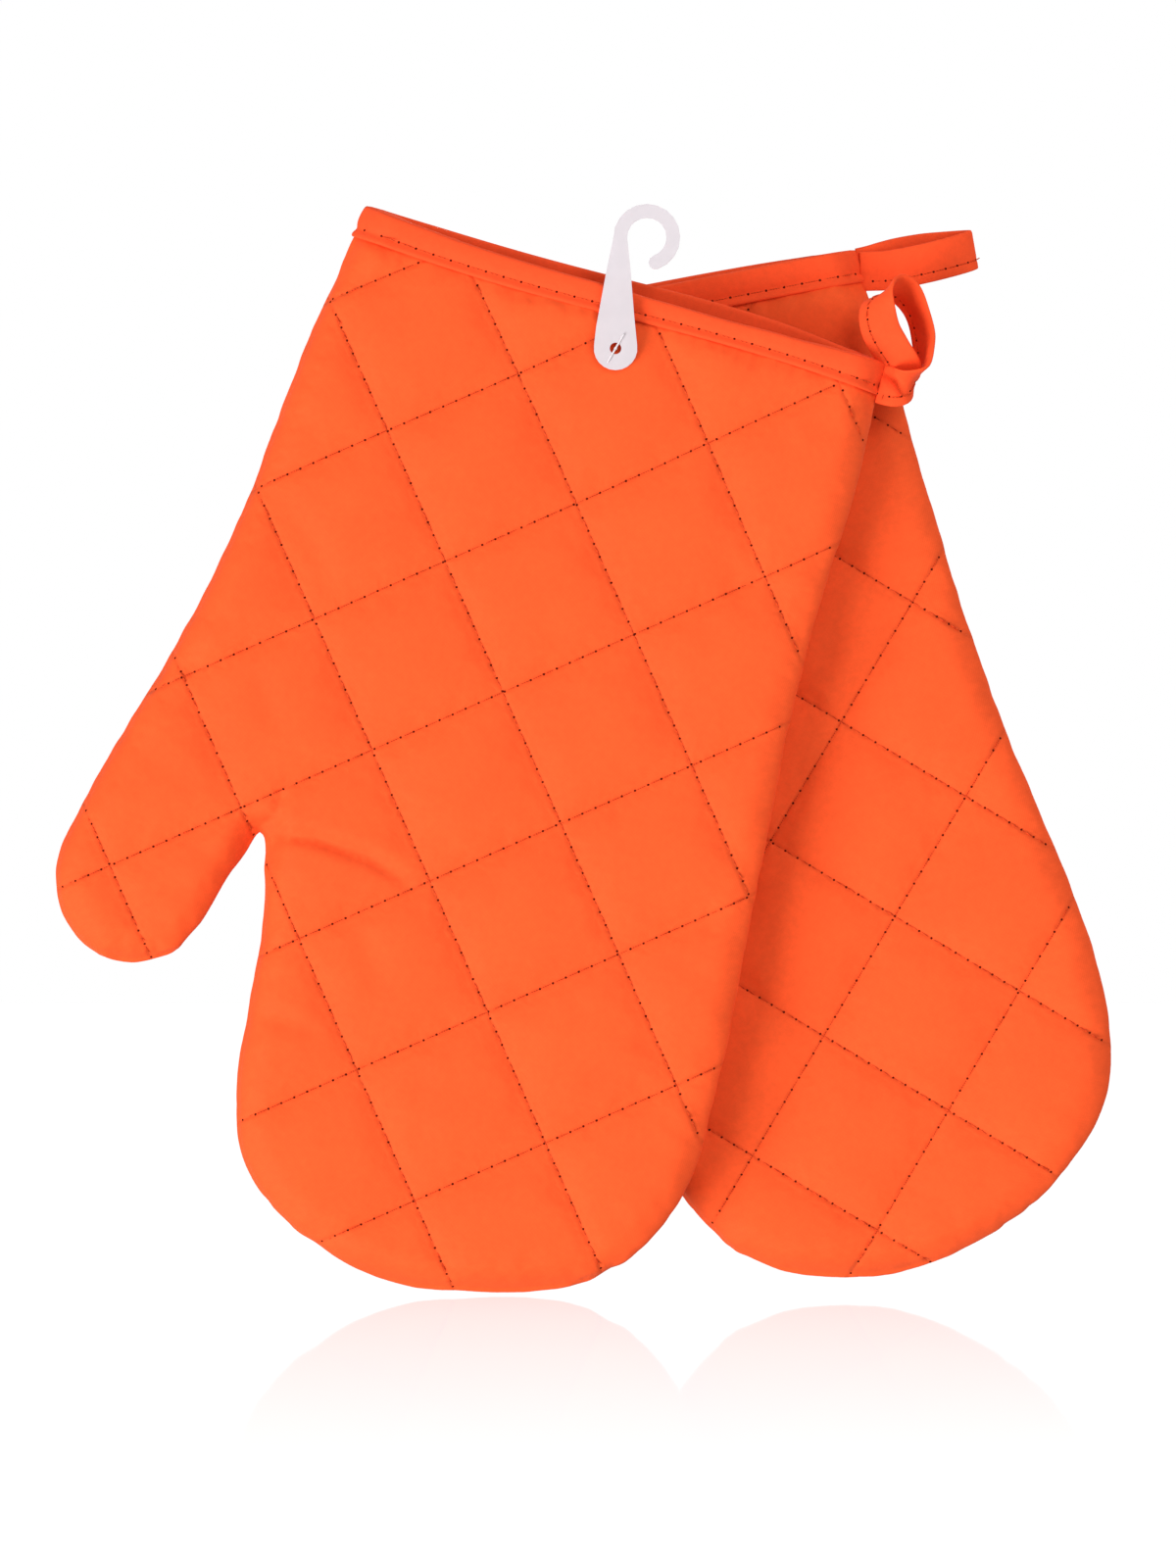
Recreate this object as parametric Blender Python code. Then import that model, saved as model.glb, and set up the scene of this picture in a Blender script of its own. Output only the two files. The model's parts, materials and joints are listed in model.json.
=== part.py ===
# A pair of quilted oven mitts, fanned out and held on one plastic J-hook hanger by a tag pin.
# Each mitt is a bag of two quilted panels. A panel is an outer cloth, a batting and a lining.
# A folded tape binds the mouth, and its tail makes a hanging loop at the side seam.
# Lengths are in metres, +Z is up, and +Y points away from the viewer.
# The origin is the inner top of the hook, where a peg carries the pair.

import math

import bmesh
import bpy
from mathutils import Matrix, Vector
from mathutils.kdtree import KDTree

# Sizes of a mitt
mitt_length = 0.2815
mitt_width = 0.1940
cuff_width = 0.1494
rear_cuff_rise = 0.0030
rear_rise_depth = 0.0600
seam_allowance = 0.0050
pocket_half = 0.0042
pocket_edge = 0.0140

# Cloth and filling
shell_thickness = 0.0005
batting_pressed = 0.0013
quilt_crown = 0.0030
crown_edge = 0.0120
crown_relief = 0.0130
pressed_crown_share = 0.3
lining_thickness = 0.0004
quilt_pitch = 0.0395
layer_gap = 0.0003

# Binding tape and loops
binding_width = 0.0094
binding_thickness = 0.0010
binding_gap = 0.0005
binding_core = 0.0003
tape_width = 0.0105
tape_thickness = 0.0010
loop_length = 0.0310
loop_eye = 0.0110
loop_hinge_out = 0.0040

# Hanger
hanger_thickness = 0.0012
hook_inner_diameter = 0.0108
hook_arm = 0.0038
hook_tip_turn_deg = 71.0
tab_radius = 0.0060
tab_arc_start_deg = 8.0
tab_arc_sweep_deg = 196.0
pin_hole_diameter = 0.0032
pin_below_seat = 0.0360
pin_left_of_seat = 0.0086

# Tag pin
filament_diameter = 0.0009
bar_diameter = 0.0010
bar_length = 0.0108
bar_turn_deg = 30.0

# How the pair lies
running_gap = 0.0005
front_pin_right_of_middle = 0.0025
back_pin_right_of_middle = 0.0041
front_pin_below_cuff = 0.0178
back_pin_below_cuff = 0.0155
front_turn_deg = 17.5
back_turn_deg = -11.0
front_quilt_deg = 41.3
back_quilt_deg = 47.0
front_quilt_share = (0.217, 0.151)
back_quilt_share = (0.200, -0.260)
back_lean_share = 0.042

# Outline of a mitt from the right end of the cuff round the fingers and the thumb to the left end.
# Across is a share of mitt_width from the middle of the cuff, down a share of mitt_length.
outline_shares = (
    (0.399, 0.124), (0.400, 0.249), (0.409, 0.355), (0.429, 0.480), (0.450, 0.611),
    (0.470, 0.746), (0.469, 0.824), (0.446, 0.874), (0.400, 0.920), (0.327, 0.963),
    (0.224, 0.988), (0.113, 1.000), (0.000, 0.988), (-0.088, 0.963), (-0.155, 0.918),
    (-0.187, 0.867), (-0.206, 0.782), (-0.224, 0.700), (-0.242, 0.654), (-0.254, 0.627),
    (-0.263, 0.619), (-0.273, 0.627), (-0.297, 0.678), (-0.318, 0.727), (-0.349, 0.760),
    (-0.400, 0.776), (-0.456, 0.769), (-0.503, 0.743), (-0.525, 0.705), (-0.523, 0.661),
    (-0.500, 0.586), (-0.472, 0.504), (-0.445, 0.419), (-0.427, 0.327), (-0.416, 0.206),
    (-0.405, 0.110),
)

# Places along the mouth between its bent ends, as shares of the straight part from the middle.
mouth_shares = (-1.0, -0.86, -0.5, 0.0, 0.5, 0.86, 1.0)

# Route of the upright loop from beside the end of the binding: across, up and towards the back, as
# shares of loop_length. The last value turns the tape's width from upright, 0, to level, 1.
upright_loop_shares = (
    (0.000, 0.000, 0.030, 0.0),
    (0.120, 0.000, 0.034, 0.0),
    (0.260, 0.100, 0.060, 0.4),
    (0.290, 0.280, 0.110, 0.9),
    (0.230, 0.500, 0.135, 1.0),
    (0.110, 0.700, 0.085, 1.0),
    (-0.050, 0.830, -0.010, 1.0),
    (-0.160, 0.790, -0.110, 1.0),
    (-0.190, 0.650, -0.180, 1.0),
    (-0.100, 0.500, -0.190, 1.0),
    (0.060, 0.370, -0.160, 0.8),
    (0.140, 0.180, -0.100, 0.3),
    (0.110, 0.010, -0.036, 0.0),
    (0.000, 0.000, -0.030, 0.0),
)
upright_loop_turn_deg = 40.0

# Half of the flat loop seen from above: along as a share of loop_length, out as a share of loop_eye.
flat_loop_shares = (
    (0.00, 0.065), (0.12, 0.08), (0.28, 0.26), (0.50, 0.43), (0.70, 0.50), (0.87, 0.42), (0.97, 0.22),
)

# The flat outline of the hanger below the hook: left edge and right edge, as shares of pin_below_seat
# to the left of the seat and below it.
shank_left_shares = ((0.308, 0.400), (0.389, 0.842))
shank_right_shares = ((0.122, 0.430), (0.097, 0.744))

# Heights above a mitt's middle plane that follow from the layers
seam_half_gap = layer_gap / 2
pressed_stack = lining_thickness + layer_gap + batting_pressed + layer_gap + shell_thickness
mouth_half = pocket_half + pressed_stack
mitt_half = mouth_half + quilt_crown
crown_start = binding_width + seam_allowance / 4
snap_distance = quilt_pitch / 11
weld_distance = layer_gap / 30

# Where the two mitts and the pin lie
front_mitt_y = hanger_thickness / 2 + running_gap + mitt_half
back_mitt_y = front_mitt_y + mitt_half + running_gap + mitt_half
pin_start_y = -hanger_thickness / 2 - layer_gap - bar_diameter / 2
pin_end_y = back_mitt_y + mitt_half + layer_gap + bar_diameter / 2
pin_x = -pin_left_of_seat
pin_z = -pin_below_seat
thread_hole_diameter = filament_diameter + 2 * layer_gap

mitts = {
    "front": {
        "y": front_mitt_y,
        "turn": math.radians(front_turn_deg),
        "pin_across": front_pin_right_of_middle,
        "pin_below": front_pin_below_cuff,
        "quilt_turn": math.radians(front_quilt_deg),
        "quilt_share": front_quilt_share,
        "lean_share": 0.0,
    },
    "back": {
        "y": back_mitt_y,
        "turn": math.radians(back_turn_deg),
        "pin_across": back_pin_right_of_middle,
        "pin_below": back_pin_below_cuff,
        "quilt_turn": math.radians(back_quilt_deg),
        "quilt_share": back_quilt_share,
        "lean_share": back_lean_share,
    },
}


def clear_scene():
    for obj in list(bpy.data.objects):
        bpy.data.objects.remove(obj, do_unlink=True)


def new_collection(name):
    collection = bpy.data.collections.new(name)
    bpy.context.scene.collection.children.link(collection)
    return collection


def make_material(name, color, roughness):
    material = bpy.data.materials.new(name)
    material.use_nodes = True
    surface = material.node_tree.nodes["Principled BSDF"]
    surface.inputs["Base Color"].default_value = (*color, 1.0)
    surface.inputs["Roughness"].default_value = roughness
    surface.inputs["Metallic"].default_value = 0.0
    return material


def add_object(name, mesh, material, parent=None):
    obj = bpy.data.objects.new(name, mesh)
    parts.objects.link(obj)
    obj.parent = parent
    mesh.materials.clear()
    mesh.materials.append(material)
    return obj


def mesh_from(bm, name):
    bmesh.ops.recalc_face_normals(bm, faces=list(bm.faces))
    mesh = bpy.data.meshes.new(name)
    bm.to_mesh(mesh)
    bm.free()
    return mesh


def clamp(value):
    return min(1.0, max(0.0, value))


def mesh_of_curve(curve):
    """The mesh that a curve makes, with its caps welded."""
    guide = bpy.data.objects.new(curve.name, curve)
    bpy.context.scene.collection.objects.link(guide)
    bpy.context.view_layer.update()
    mesh = bpy.data.meshes.new_from_object(guide.evaluated_get(bpy.context.evaluated_depsgraph_get()))
    bpy.data.objects.remove(guide, do_unlink=True)
    bm = bmesh.new()
    bm.from_mesh(mesh)
    bpy.data.meshes.remove(mesh)
    bmesh.ops.remove_doubles(bm, verts=list(bm.verts), dist=weld_distance)
    return bm


def mitt_outline():
    """The side outline as points, from above the right end of the cuff to above its left end."""
    above = seam_allowance + pocket_edge + binding_width
    half = cuff_width / 2
    corners = [Vector((half, 0, above)), Vector((half, 0, 0))]
    corners += [Vector((across * mitt_width, 0, -down * mitt_length)) for across, down in outline_shares]
    corners += [Vector((-half, 0, 0)), Vector((-half, 0, above))]
    curve = bpy.data.curves.new("mitt_outline", "CURVE")
    curve.dimensions = "3D"
    curve.resolution_u = 2
    spline = curve.splines.new("BEZIER")
    spline.bezier_points.add(len(corners) - 1)
    for point, corner in zip(spline.bezier_points, corners):
        point.co = corner
        point.handle_left_type = "AUTO"
        point.handle_right_type = "AUTO"
    bm = mesh_of_curve(curve)
    points = [vertex.co.copy() for vertex in bm.verts]
    bm.free()
    return points


def edge_distance(point, outline):
    """How far a plan point is from the side outline."""
    nearest = mitt_length
    for start, end in zip(outline, outline[1:]):
        along = end - start
        share = clamp((point - start).dot(along) / along.length_squared)
        nearest = min(nearest, (point - start - along * share).length)
    return nearest


def quilt_frame(mitt):
    """A crossing of the quilting, and the two directions of its lines."""
    across, down = mitt["quilt_share"]
    origin = Vector((across * quilt_pitch, 0, -down * quilt_pitch))
    turn = mitt["quilt_turn"]
    first = Vector((math.cos(turn), 0, math.sin(turn)))
    second = Vector((math.sin(turn), 0, -math.cos(turn)))
    return origin, first, second


def crown_share(point, mitt, distance):
    """How full the batting is: 0 on and beside a quilting line, 1 in the middle of a cell."""
    origin, first, second = quilt_frame(mitt)
    full = 1.0
    for direction in (first, second):
        step = (point - origin).dot(direction) / quilt_pitch
        share = step - math.floor(step)
        full *= math.sqrt(max(0.0, 4.0 * share * (1.0 - share)))
    full = full if full > pressed_crown_share else 0.0
    return full * clamp(distance / crown_edge) * clamp((-point.z - crown_start) / crown_relief)


def pocket_height(point, mitt, distance):
    open_share = clamp((distance - seam_allowance) / pocket_edge)
    return seam_half_gap + (pocket_half - seam_half_gap) * open_share


def lining_outer(point, mitt, distance):
    return pocket_height(point, mitt, distance) + lining_thickness


def batting_inner(point, mitt, distance):
    return lining_outer(point, mitt, distance) + layer_gap


def batting_outer(point, mitt, distance):
    crown = quilt_crown * crown_share(point, mitt, distance)
    return batting_inner(point, mitt, distance) + batting_pressed + crown


def shell_inner(point, mitt, distance):
    if distance < seam_allowance / 2:
        return seam_half_gap
    return batting_outer(point, mitt, distance) + layer_gap


def shell_outer(point, mitt, distance):
    return shell_inner(point, mitt, distance) + shell_thickness


def on_mitt(point, depth, mitt, side):
    """Puts a plan point at its depth. The rear half of the cuff stands a little higher."""
    rise = 0.0
    if side > 0:
        arch = 1.0 - (2.0 * point.x / cuff_width) ** 4
        rise = rear_cuff_rise * clamp(1.0 + point.z / rear_rise_depth) * clamp(arch)
    return Vector((point.x - mitt["lean_share"] * point.z, depth, point.z + rise))


def cut_lines(bm, marks, origin, direction, spacing):
    """Cuts the marked faces along parallel lines. A line takes a point that lies close by."""
    count = int((mitt_length + mitt_width) / spacing) + 1
    for number in range(-count, count + 1):
        inside = [face for face in bm.faces if face[marks]]
        geometry = set(inside)
        for face in inside:
            geometry.update(face.edges)
            geometry.update(face.verts)
        place = origin + direction * spacing * number
        bmesh.ops.bisect_plane(
            bm, geom=list(geometry), dist=snap_distance, plane_co=place, plane_no=direction
        )


def cut_level(bm, height, clear_above=False):
    bmesh.ops.bisect_plane(
        bm,
        geom=list(bm.verts) + list(bm.edges) + list(bm.faces),
        dist=weld_distance,
        plane_co=Vector((0, 0, height)),
        plane_no=Vector((0, 0, 1)),
        clear_outer=clear_above,
    )


def ordered_loop(edges):
    """The points of a closed chain of edges, in order."""
    left = set(edges)
    edge = left.pop()
    start, vertex = edge.verts
    points = [start.co.copy()]
    while vertex != start:
        points.append(vertex.co.copy())
        edge = next(item for item in vertex.link_edges if item in left)
        left.remove(edge)
        vertex = edge.other_vert(vertex)
    return points


def inset_plan(points, width):
    """A flat polygon with a rim along its edge. The face inside the rim is marked with a 1."""
    bm = bmesh.new()
    marks = bm.faces.layers.int.new("inside")
    bm.faces.new([bm.verts.new(point) for point in points])
    bm.normal_update()
    bmesh.ops.inset_region(
        bm, faces=list(bm.faces), thickness=width, use_boundary=True, use_even_offset=False
    )
    for face in bm.faces:
        face[marks] = 0
    largest = max(bm.faces, key=lambda face: face.calc_area())
    largest[marks] = 1
    return bm, marks


def finish_plan(bm):
    cut_level(bm, 0.0, clear_above=True)
    bmesh.ops.triangulate(bm, faces=list(bm.faces))
    return bm


def panel_plans(mitt, outline):
    """Flat plans of the outer cloth, of the batting's quilted face and of the lining."""
    cloth, marks = inset_plan(outline, seam_allowance)
    origin, first, second = quilt_frame(mitt)
    for direction in (first, second):
        cut_lines(cloth, marks, origin, direction, quilt_pitch / 3)
    cut_level(cloth, -crown_start)
    bmesh.ops.remove_doubles(cloth, verts=list(cloth.verts), dist=layer_gap * 3)
    border = [edge for edge in cloth.edges if sum(face[marks] for face in edge.link_faces) == 1]
    lining, _ = inset_plan(ordered_loop(border), pocket_edge)
    quilted = cloth.copy()
    kept = quilted.faces.layers.int["inside"]
    rim = [face for face in quilted.faces if not face[kept]]
    bmesh.ops.delete(quilted, geom=rim, context="FACES")
    return finish_plan(cloth), finish_plan(quilted), finish_plan(lining)


def shared_names(plans):
    """Names the points of two plans, the same name where they lie at the same place."""
    tree = KDTree(len(plans[0].verts))
    names = [{}, {}]
    for number, vertex in enumerate(plans[0].verts):
        tree.insert(vertex.co, number)
        names[0][vertex] = number
    tree.balance()
    for number, vertex in enumerate(plans[1].verts):
        _, nearest, distance = tree.find(vertex.co)
        names[1][vertex] = nearest if distance < layer_gap / 10 else len(plans[0].verts) + number
    return names


def zip_chains(bm, first, second):
    """Triangles between two chains of points that run side by side from left to right."""
    number, other = 0, 0
    while number < len(first) - 1 or other < len(second) - 1:
        if other == len(second) - 1:
            ahead = True
        elif number == len(first) - 1:
            ahead = False
        else:
            ahead = first[number + 1].co.x < second[other + 1].co.x
        if ahead:
            bm.faces.new((first[number], second[other], first[number + 1]))
            number += 1
        else:
            bm.faces.new((first[number], second[other], second[other + 1]))
            other += 1


def solid_between(name, levels, mitt, outline, side):
    """A layer between two plans, each at its own height, closed along the edges."""
    bm = bmesh.new()
    points = []
    borders = []
    ends = []
    for (plan, height), names in zip(levels, shared_names([plan for plan, _ in levels])):
        partner = {}
        for vertex in plan.verts:
            depth = side * height(vertex.co, mitt, edge_distance(vertex.co, outline))
            partner[vertex] = bm.verts.new(on_mitt(vertex.co, depth, mitt, side))
        for face in plan.faces:
            bm.faces.new([partner[vertex] for vertex in face.verts])
        points.append({names[vertex]: partner[vertex] for vertex in plan.verts})
        border = [edge for edge in plan.edges if edge.is_boundary]
        borders.append({frozenset(names[vertex] for vertex in edge.verts) for edge in border})
        mouth = {vertex for edge in border for vertex in edge.verts if vertex.co.z > -layer_gap / 10}
        ends.append([partner[vertex] for vertex in sorted(mouth, key=lambda vertex: vertex.co.x)])
    low, high = points
    for edge in borders[0] & borders[1]:
        start, end = edge
        bm.faces.new((low[start], low[end], high[end], high[start]))
    if borders[0] != borders[1]:
        zip_chains(bm, ends[0], ends[1])
    bmesh.ops.triangulate(bm, faces=[face for face in bm.faces if len(face.verts) > 3])
    return mesh_from(bm, name)


def offset_loop(points, width):
    """A closed loop of plan points, moved outwards by a width at every side."""
    moved = []
    for number, point in enumerate(points):
        before = (point - points[number - 1]).normalized()
        after = (points[(number + 1) % len(points)] - point).normalized()
        first = Vector((before.y, -before.x))
        second = Vector((after.y, -after.x))
        bend = (first + second).normalized()
        moved.append(point + bend * (width / bend.dot(first)))
    return moved


def mouth_loop(end_points, straight_half, straight_depth):
    """A lens-shaped loop round the mouth: its bent right end mirrored, and the straight sides between."""
    front = [Vector((-x, -depth)) for x, depth in end_points]
    front += [Vector((share * straight_half, -straight_depth)) for share in mouth_shares]
    front += [Vector((x, -depth)) for x, depth in reversed(end_points)]
    rear = [Vector((-point.x, -point.y)) for point in front]
    return front + rear


def flare_at(depth, outline):
    """How much wider than at its mouth the mitt is at a depth below it, on its wider side."""
    widest = 0.0
    for start, end in zip(outline, outline[1:]):
        if (start.z + depth) * (end.z + depth) <= 0 and start.z != end.z:
            share = (start.z + depth) / (start.z - end.z)
            widest = max(widest, abs(start.x + (end.x - start.x) * share))
    return widest - cuff_width / 2


def binding_mesh(name, mitt, outline):
    """The folded tape over the mouth: its section lofted right round the mouth."""
    half = cuff_width / 2
    flare = flare_at(binding_width, outline)
    stack = pressed_stack
    rim_slope = (pocket_half - seam_half_gap) / pocket_edge
    end_depth = binding_gap + binding_thickness + binding_core
    end_in = seam_allowance + (end_depth - seam_half_gap) / rim_slope
    open_in = seam_allowance + pocket_edge
    middle_in = (end_in + open_in) / 2
    middle_depth = (end_depth + pocket_half) / 2
    outer_ends = ((half, seam_half_gap + shell_thickness), (half - seam_allowance, seam_half_gap + stack))
    inner_ends = ((half - end_in, end_depth), (half - middle_in, middle_depth))
    outer = mouth_loop(outer_ends, half - open_in, mouth_half)
    inner = mouth_loop(inner_ends, half - open_in, pocket_half)
    far = offset_loop(outer, binding_gap + binding_thickness)
    near = offset_loop(outer, binding_gap)
    lining_side = offset_loop(inner, -binding_gap)
    pocket_side = offset_loop(inner, -binding_gap - binding_thickness)
    top = binding_gap + binding_thickness
    levels = (
        (far, -binding_width), (far, top), (pocket_side, top), (pocket_side, -binding_width),
        (lining_side, -binding_width), (lining_side, binding_gap), (near, binding_gap), (near, -binding_width),
    )
    bm = bmesh.new()
    rings = []
    for number, middle in enumerate(outer):
        side = 1 if middle.y > 0 else -1
        ring = []
        for loop, height in levels:
            place = loop[number]
            rise = on_mitt(Vector((place.x, 0, 0)), 0.0, mitt, side).z
            wider = flare * clamp(-height / binding_width) * place.x / half
            across = place.x + wider - mitt["lean_share"] * height
            ring.append(bm.verts.new((across, place.y, height + rise)))
        rings.append(ring)
    bridge_rings(bm, rings, closed=True)
    return mesh_from(bm, name)


def bridge_rings(bm, rings, closed):
    """Faces between each ring of points and the next one."""
    pairs = list(zip(rings, rings[1:]))
    if closed:
        pairs.append((rings[-1], rings[0]))
    for ring, following in pairs:
        for number in range(len(ring)):
            after = (number + 1) % len(ring)
            bm.faces.new((ring[number], ring[after], following[after], following[number]))
    if not closed:
        bm.faces.new(rings[0])
        bm.faces.new(rings[-1])


def tape_mesh(name, centres, widths):
    """A tape lofted along its centre line, with the direction of its width given at each place."""
    bm = bmesh.new()
    rings = []
    last = len(centres) - 1
    for number, centre in enumerate(centres):
        along = (centres[min(number + 1, last)] - centres[max(number - 1, 0)]).normalized()
        broad = widths[number] - along * widths[number].dot(along)
        broad = broad.normalized() * (tape_width / 2)
        thick = along.cross(broad).normalized() * (tape_thickness / 2)
        corners = (broad + thick, broad - thick, -broad - thick, thick - broad)
        rings.append([bm.verts.new(centre + corner) for corner in corners])
    bridge_rings(bm, rings, closed=False)
    return mesh_from(bm, name)


def upright_loop(name, material, parent):
    """The front mitt's loop, which stands up and turns its eye a little to the viewer."""
    turn = math.radians(upright_loop_turn_deg)
    upright = Vector((0, 0, 1))
    level = Vector((math.sin(turn), -math.cos(turn), 0))
    centres = []
    widths = []
    for across, up, back, level_share in upright_loop_shares:
        centres.append(Vector((across, back, up)) * loop_length - Vector((loop_hinge_out, 0, 0)))
        widths.append(upright.lerp(level, level_share))
    return add_object(name, tape_mesh(name, centres, widths), material, parent)


def flat_loop(name, material, parent):
    """The back mitt's loop, which lies flat and runs on from the cuff."""
    half = [(along * loop_length - loop_hinge_out, out * loop_eye) for along, out in flat_loop_shares]
    route = half + [(loop_length - loop_hinge_out, 0)] + [(along, -out) for along, out in reversed(half)]
    centres = [Vector((along, out, 0)) for along, out in route]
    widths = [Vector((0, 0, 1))] * len(centres)
    return add_object(name, tape_mesh(name, centres, widths), material, parent)


def hanger_mesh(name):
    """The flat J-hook: an outline with its arcs, filled round the pin's hole."""
    inner = hook_inner_diameter / 2
    outer = inner + hook_arm
    centre = Vector((0, -inner, 0))
    tip_turn = math.radians(hook_tip_turn_deg)
    sweep = math.pi + tip_turn
    points = []
    for number in range(15):
        angle = math.pi - sweep * number / 14
        points.append(centre + outer * Vector((math.cos(angle), math.sin(angle), 0)))
    tip = centre + (inner + hook_arm / 2) * Vector((math.cos(tip_turn), -math.sin(tip_turn), 0))
    for number in range(1, 5):
        angle = -tip_turn - math.pi * number / 5
        points.append(tip + hook_arm / 2 * Vector((math.cos(angle), math.sin(angle), 0)))
    for number in range(15):
        angle = -tip_turn + sweep * number / 14
        points.append(centre + inner * Vector((math.cos(angle), math.sin(angle), 0)))
    reach = pin_below_seat
    points += [Vector((-left * reach, -below * reach, 0)) for left, below in shank_right_shares]
    tab = Vector((pin_x, pin_z, 0))
    for number in range(13):
        angle = math.radians(tab_arc_start_deg - tab_arc_sweep_deg * number / 12)
        points.append(tab + tab_radius * Vector((math.cos(angle), math.sin(angle), 0)))
    points += [Vector((-left * reach, -below * reach, 0)) for left, below in reversed(shank_left_shares)]
    hole = []
    for number in range(16):
        angle = math.tau * number / 16
        hole.append(tab + pin_hole_diameter / 2 * Vector((math.cos(angle), math.sin(angle), 0)))
    curve = bpy.data.curves.new(name, "CURVE")
    curve.dimensions = "2D"
    curve.fill_mode = "BOTH"
    curve.extrude = hanger_thickness / 2
    for loop in (points, hole):
        spline = curve.splines.new("POLY")
        spline.points.add(len(loop) - 1)
        for target, point in zip(spline.points, loop):
            target.co = (*point, 1.0)
        spline.use_cyclic_u = True
    bm = mesh_of_curve(curve)
    bmesh.ops.rotate(bm, verts=list(bm.verts), matrix=Matrix.Rotation(math.radians(90), 3, "X"))
    return mesh_from(bm, name)


def rod(bm, start, end, diameter, segments):
    """A round rod between two points."""
    along = end - start
    turn = along.to_track_quat("Z", "Y").to_matrix().to_4x4()
    place = Matrix.Translation((start + end) / 2) @ turn
    radius = diameter / 2
    bmesh.ops.create_cone(
        bm, cap_ends=True, segments=segments, radius1=radius, radius2=radius, depth=along.length, matrix=place
    )


def add_cutter(name, start, end, diameter, parent):
    bm = bmesh.new()
    rod(bm, start, end, diameter, 12)
    cutter = bpy.data.objects.new(name, mesh_from(bm, name))
    cutters.objects.link(cutter)
    cutter.parent = parent
    cutter.hide_render = True
    cutter.display_type = "WIRE"
    return cutter


def add_boolean(obj, other, operation):
    change = obj.modifiers.new(other.name, "BOOLEAN")
    change.operation = operation
    change.solver = "EXACT"
    change.object = other


def tag_pin(material):
    """The pin: a thread through the hanger and both mitts, with a bar across each end."""
    turn = math.radians(bar_turn_deg)
    reach = Vector((math.sin(turn), 0, math.cos(turn))) * (bar_length / 2)
    ends = [Vector((pin_x, y, pin_z)) for y in (pin_start_y, pin_end_y)]
    bm = bmesh.new()
    rod(bm, ends[0], ends[1], filament_diameter, 8)
    pin = add_object("tag_pin", mesh_from(bm, "tag_pin"), material)
    for name, end in zip(("front_bar", "rear_bar"), ends):
        bm = bmesh.new()
        rod(bm, end - reach, end + reach, bar_diameter, 10)
        bar = bpy.data.objects.new(name, mesh_from(bm, name))
        cutters.objects.link(bar)
        bar.hide_render = True
        bar.display_type = "WIRE"
        add_boolean(pin, bar, "UNION")
    return pin


def make_mitt(name, mitt, outline, colors):
    """One mitt: two panels of three layers, the binding and the loop."""
    pivot = bpy.data.objects.new(name + "_mitt_pivot", None)
    parts.objects.link(pivot)
    pivot.location = (pin_x, mitt["y"], pin_z)
    pivot.rotation_euler = (0, mitt["turn"], 0)
    frame = bpy.data.objects.new(name + "_mitt_frame", None)
    parts.objects.link(frame)
    frame.parent = pivot
    frame.location = (-mitt["pin_across"], 0, mitt["pin_below"])
    cloth, quilted, flat = panel_plans(mitt, outline)
    layers = {
        "shell": ((cloth, shell_inner), (cloth, shell_outer)),
        "batting": ((flat, batting_inner), (quilted, batting_outer)),
        "lining": ((flat, pocket_height), (flat, lining_outer)),
    }
    drill = Vector((mitt["pin_across"], 0, -mitt["pin_below"]))
    reach = Vector((0, mitt_half * 1.5, 0))
    for side_name, side in (("front", -1), ("rear", 1)):
        for layer, levels in layers.items():
            node = name + "_mitt_" + side_name + "_" + layer
            mesh = solid_between(node, levels, mitt, outline, side)
            panel = add_object(node, mesh, colors[layer], frame)
            cutter = add_cutter(node + "_drill", drill - reach, drill + reach, thread_hole_diameter, frame)
            add_boolean(panel, cutter, "DIFFERENCE")
    node = name + "_mitt_binding"
    add_object(node, binding_mesh(node, mitt, outline), colors["binding"], frame)
    loop_pivot = bpy.data.objects.new(name + "_loop_pivot", None)
    parts.objects.link(loop_pivot)
    loop_pivot.parent = frame
    flare = max(0.0, flare_at(tape_width, outline)) + mitt["lean_share"] * tape_width
    binding_end = cuff_width / 2 + flare + binding_gap + binding_thickness
    loop_pivot.location = (binding_end + layer_gap + loop_hinge_out, 0, -binding_width / 2)
    return loop_pivot


clear_scene()
parts = new_collection("pair_of_oven_mitts")
cutters = new_collection("cutters")
colors = {
    "shell": make_material("orange_cloth", (1.0, 0.125, 0.030), 0.80),
    "batting": make_material("batting", (0.92, 0.90, 0.86), 0.95),
    "lining": make_material("lining_cloth", (0.80, 0.09, 0.025), 0.85),
    "binding": make_material("binding_tape", (1.0, 0.115, 0.030), 0.75),
}
clear_plastic = make_material("milky_plastic", (0.90, 0.88, 0.89), 0.35)
outline = mitt_outline()
front_loop_pivot = make_mitt("front", mitts["front"], outline, colors)
back_loop_pivot = make_mitt("back", mitts["back"], outline, colors)
upright_loop("front_mitt_loop", colors["binding"], front_loop_pivot)
flat_loop("back_mitt_loop", colors["binding"], back_loop_pivot)
add_object("hanger_hook", hanger_mesh("hanger_hook"), clear_plastic)
tag_pin(clear_plastic)
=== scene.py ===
# %% [markdown]
# # A pair of quilted oven mitts on a hook hanger
#
# Two padded mitts hang one behind the other, fanned out on a small plastic hook. Each mitt is a
# bag of two quilted panels with a lining. A folded tape binds its mouth and ends in a loop.
# The lesson builds the cloth pieces over a fixed model of the pair, which is loaded first.
#
# All lengths are in metres. +Z is up and +Y points away from the camera. The origin is the inner
# top of the hook.

# %% Load the fixed model
import json
import math

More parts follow.
